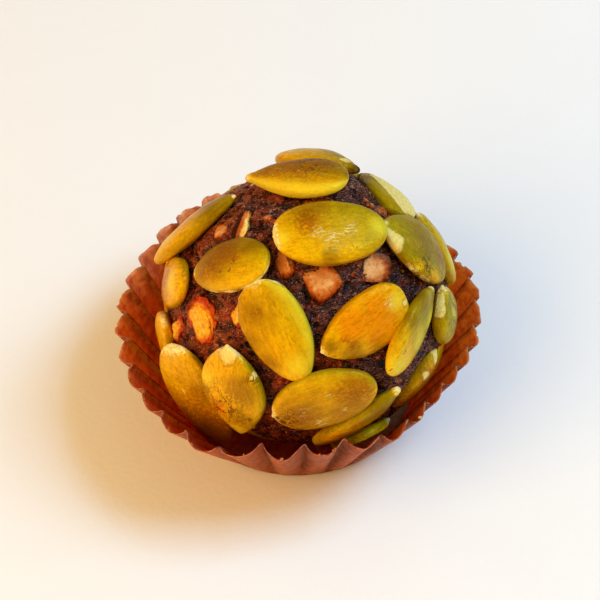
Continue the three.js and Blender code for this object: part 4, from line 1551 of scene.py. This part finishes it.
def make_camera(settings):
    """The camera in front of the part, aimed at the middle of what it shows."""
    data = bpy.data.cameras.new("camera")
    data.lens = settings.lens
    data.clip_start = 0.01
    camera = bpy.data.objects.new("camera", data)
    aim = Vector(CAMERA_AIM) * MM
    back = Vector((0, -math.cos(settings.elevation), math.sin(settings.elevation)))
    camera.location = aim + back * settings.distance
    camera.rotation_euler = (-back).to_track_quat("-Z", "Y").to_euler()
    bpy.context.scene.collection.objects.link(camera)
    bpy.context.scene.camera = camera
    return camera


# ---- Panel and registration --------------------------------------------------------------------------


class EnergyBallSettings(bpy.types.PropertyGroup):
    case: PointerProperty(type=CaseSettings, name="Paper case", description="Fluted paper case")
    dough: PointerProperty(type=DoughSettings, name="Dough", description="Dough ball")
    seeds: PointerProperty(type=SeedSettings, name="Seeds", description="Pumpkin seeds")
    bits: PointerProperty(type=BitSettings, name="Bits", description="Nut, fruit and crumbs")
    stage: PointerProperty(type=StageSettings, name="Stage", description="Floor, light, camera")


OPERATORS = (
    ENERGYBALL_OT_paper_case,
    ENERGYBALL_OT_dough,
    ENERGYBALL_OT_seeds,
    ENERGYBALL_OT_bits,
    ENERGYBALL_OT_crumbs,
    ENERGYBALL_OT_stage,
)


class ENERGYBALL_PT_panel(bpy.types.Panel):
    """The pieces of the energy ball and their settings"""

    bl_label = "Energy Ball"
    bl_idname = "ENERGYBALL_PT_panel"
    bl_space_type = "VIEW_3D"
    bl_region_type = "UI"
    bl_category = "Energy Ball"

    def draw(self, context):
        settings = context.scene.energy_ball
        for part in ("case", "dough", "seeds", "bits", "stage"):
            box = self.layout.box()
            group = getattr(settings, part)
            for name in group.bl_rna.properties.keys():
                if name not in ("rna_type", "name"):
                    box.prop(group, name)
        for operator in OPERATORS:
            self.layout.operator(operator.bl_idname)


CLASSES = (
    CaseSettings,
    DoughSettings,
    SeedSettings,
    BitSettings,
    StageSettings,
    EnergyBallSettings,
    *OPERATORS,
    ENERGYBALL_PT_panel,
)


def register():
    for cls in CLASSES:
        bpy.utils.register_class(cls)
    bpy.types.Scene.energy_ball = PointerProperty(type=EnergyBallSettings)


def unregister():
    del bpy.types.Scene.energy_ball
    for cls in reversed(CLASSES):
        bpy.utils.unregister_class(cls)


def main():
    register()
    for operator in OPERATORS:
        piece = operator.bl_idname.split(".")[1]
        getattr(bpy.ops.energy_ball, piece)()


if __name__ == "__main__":
    main()
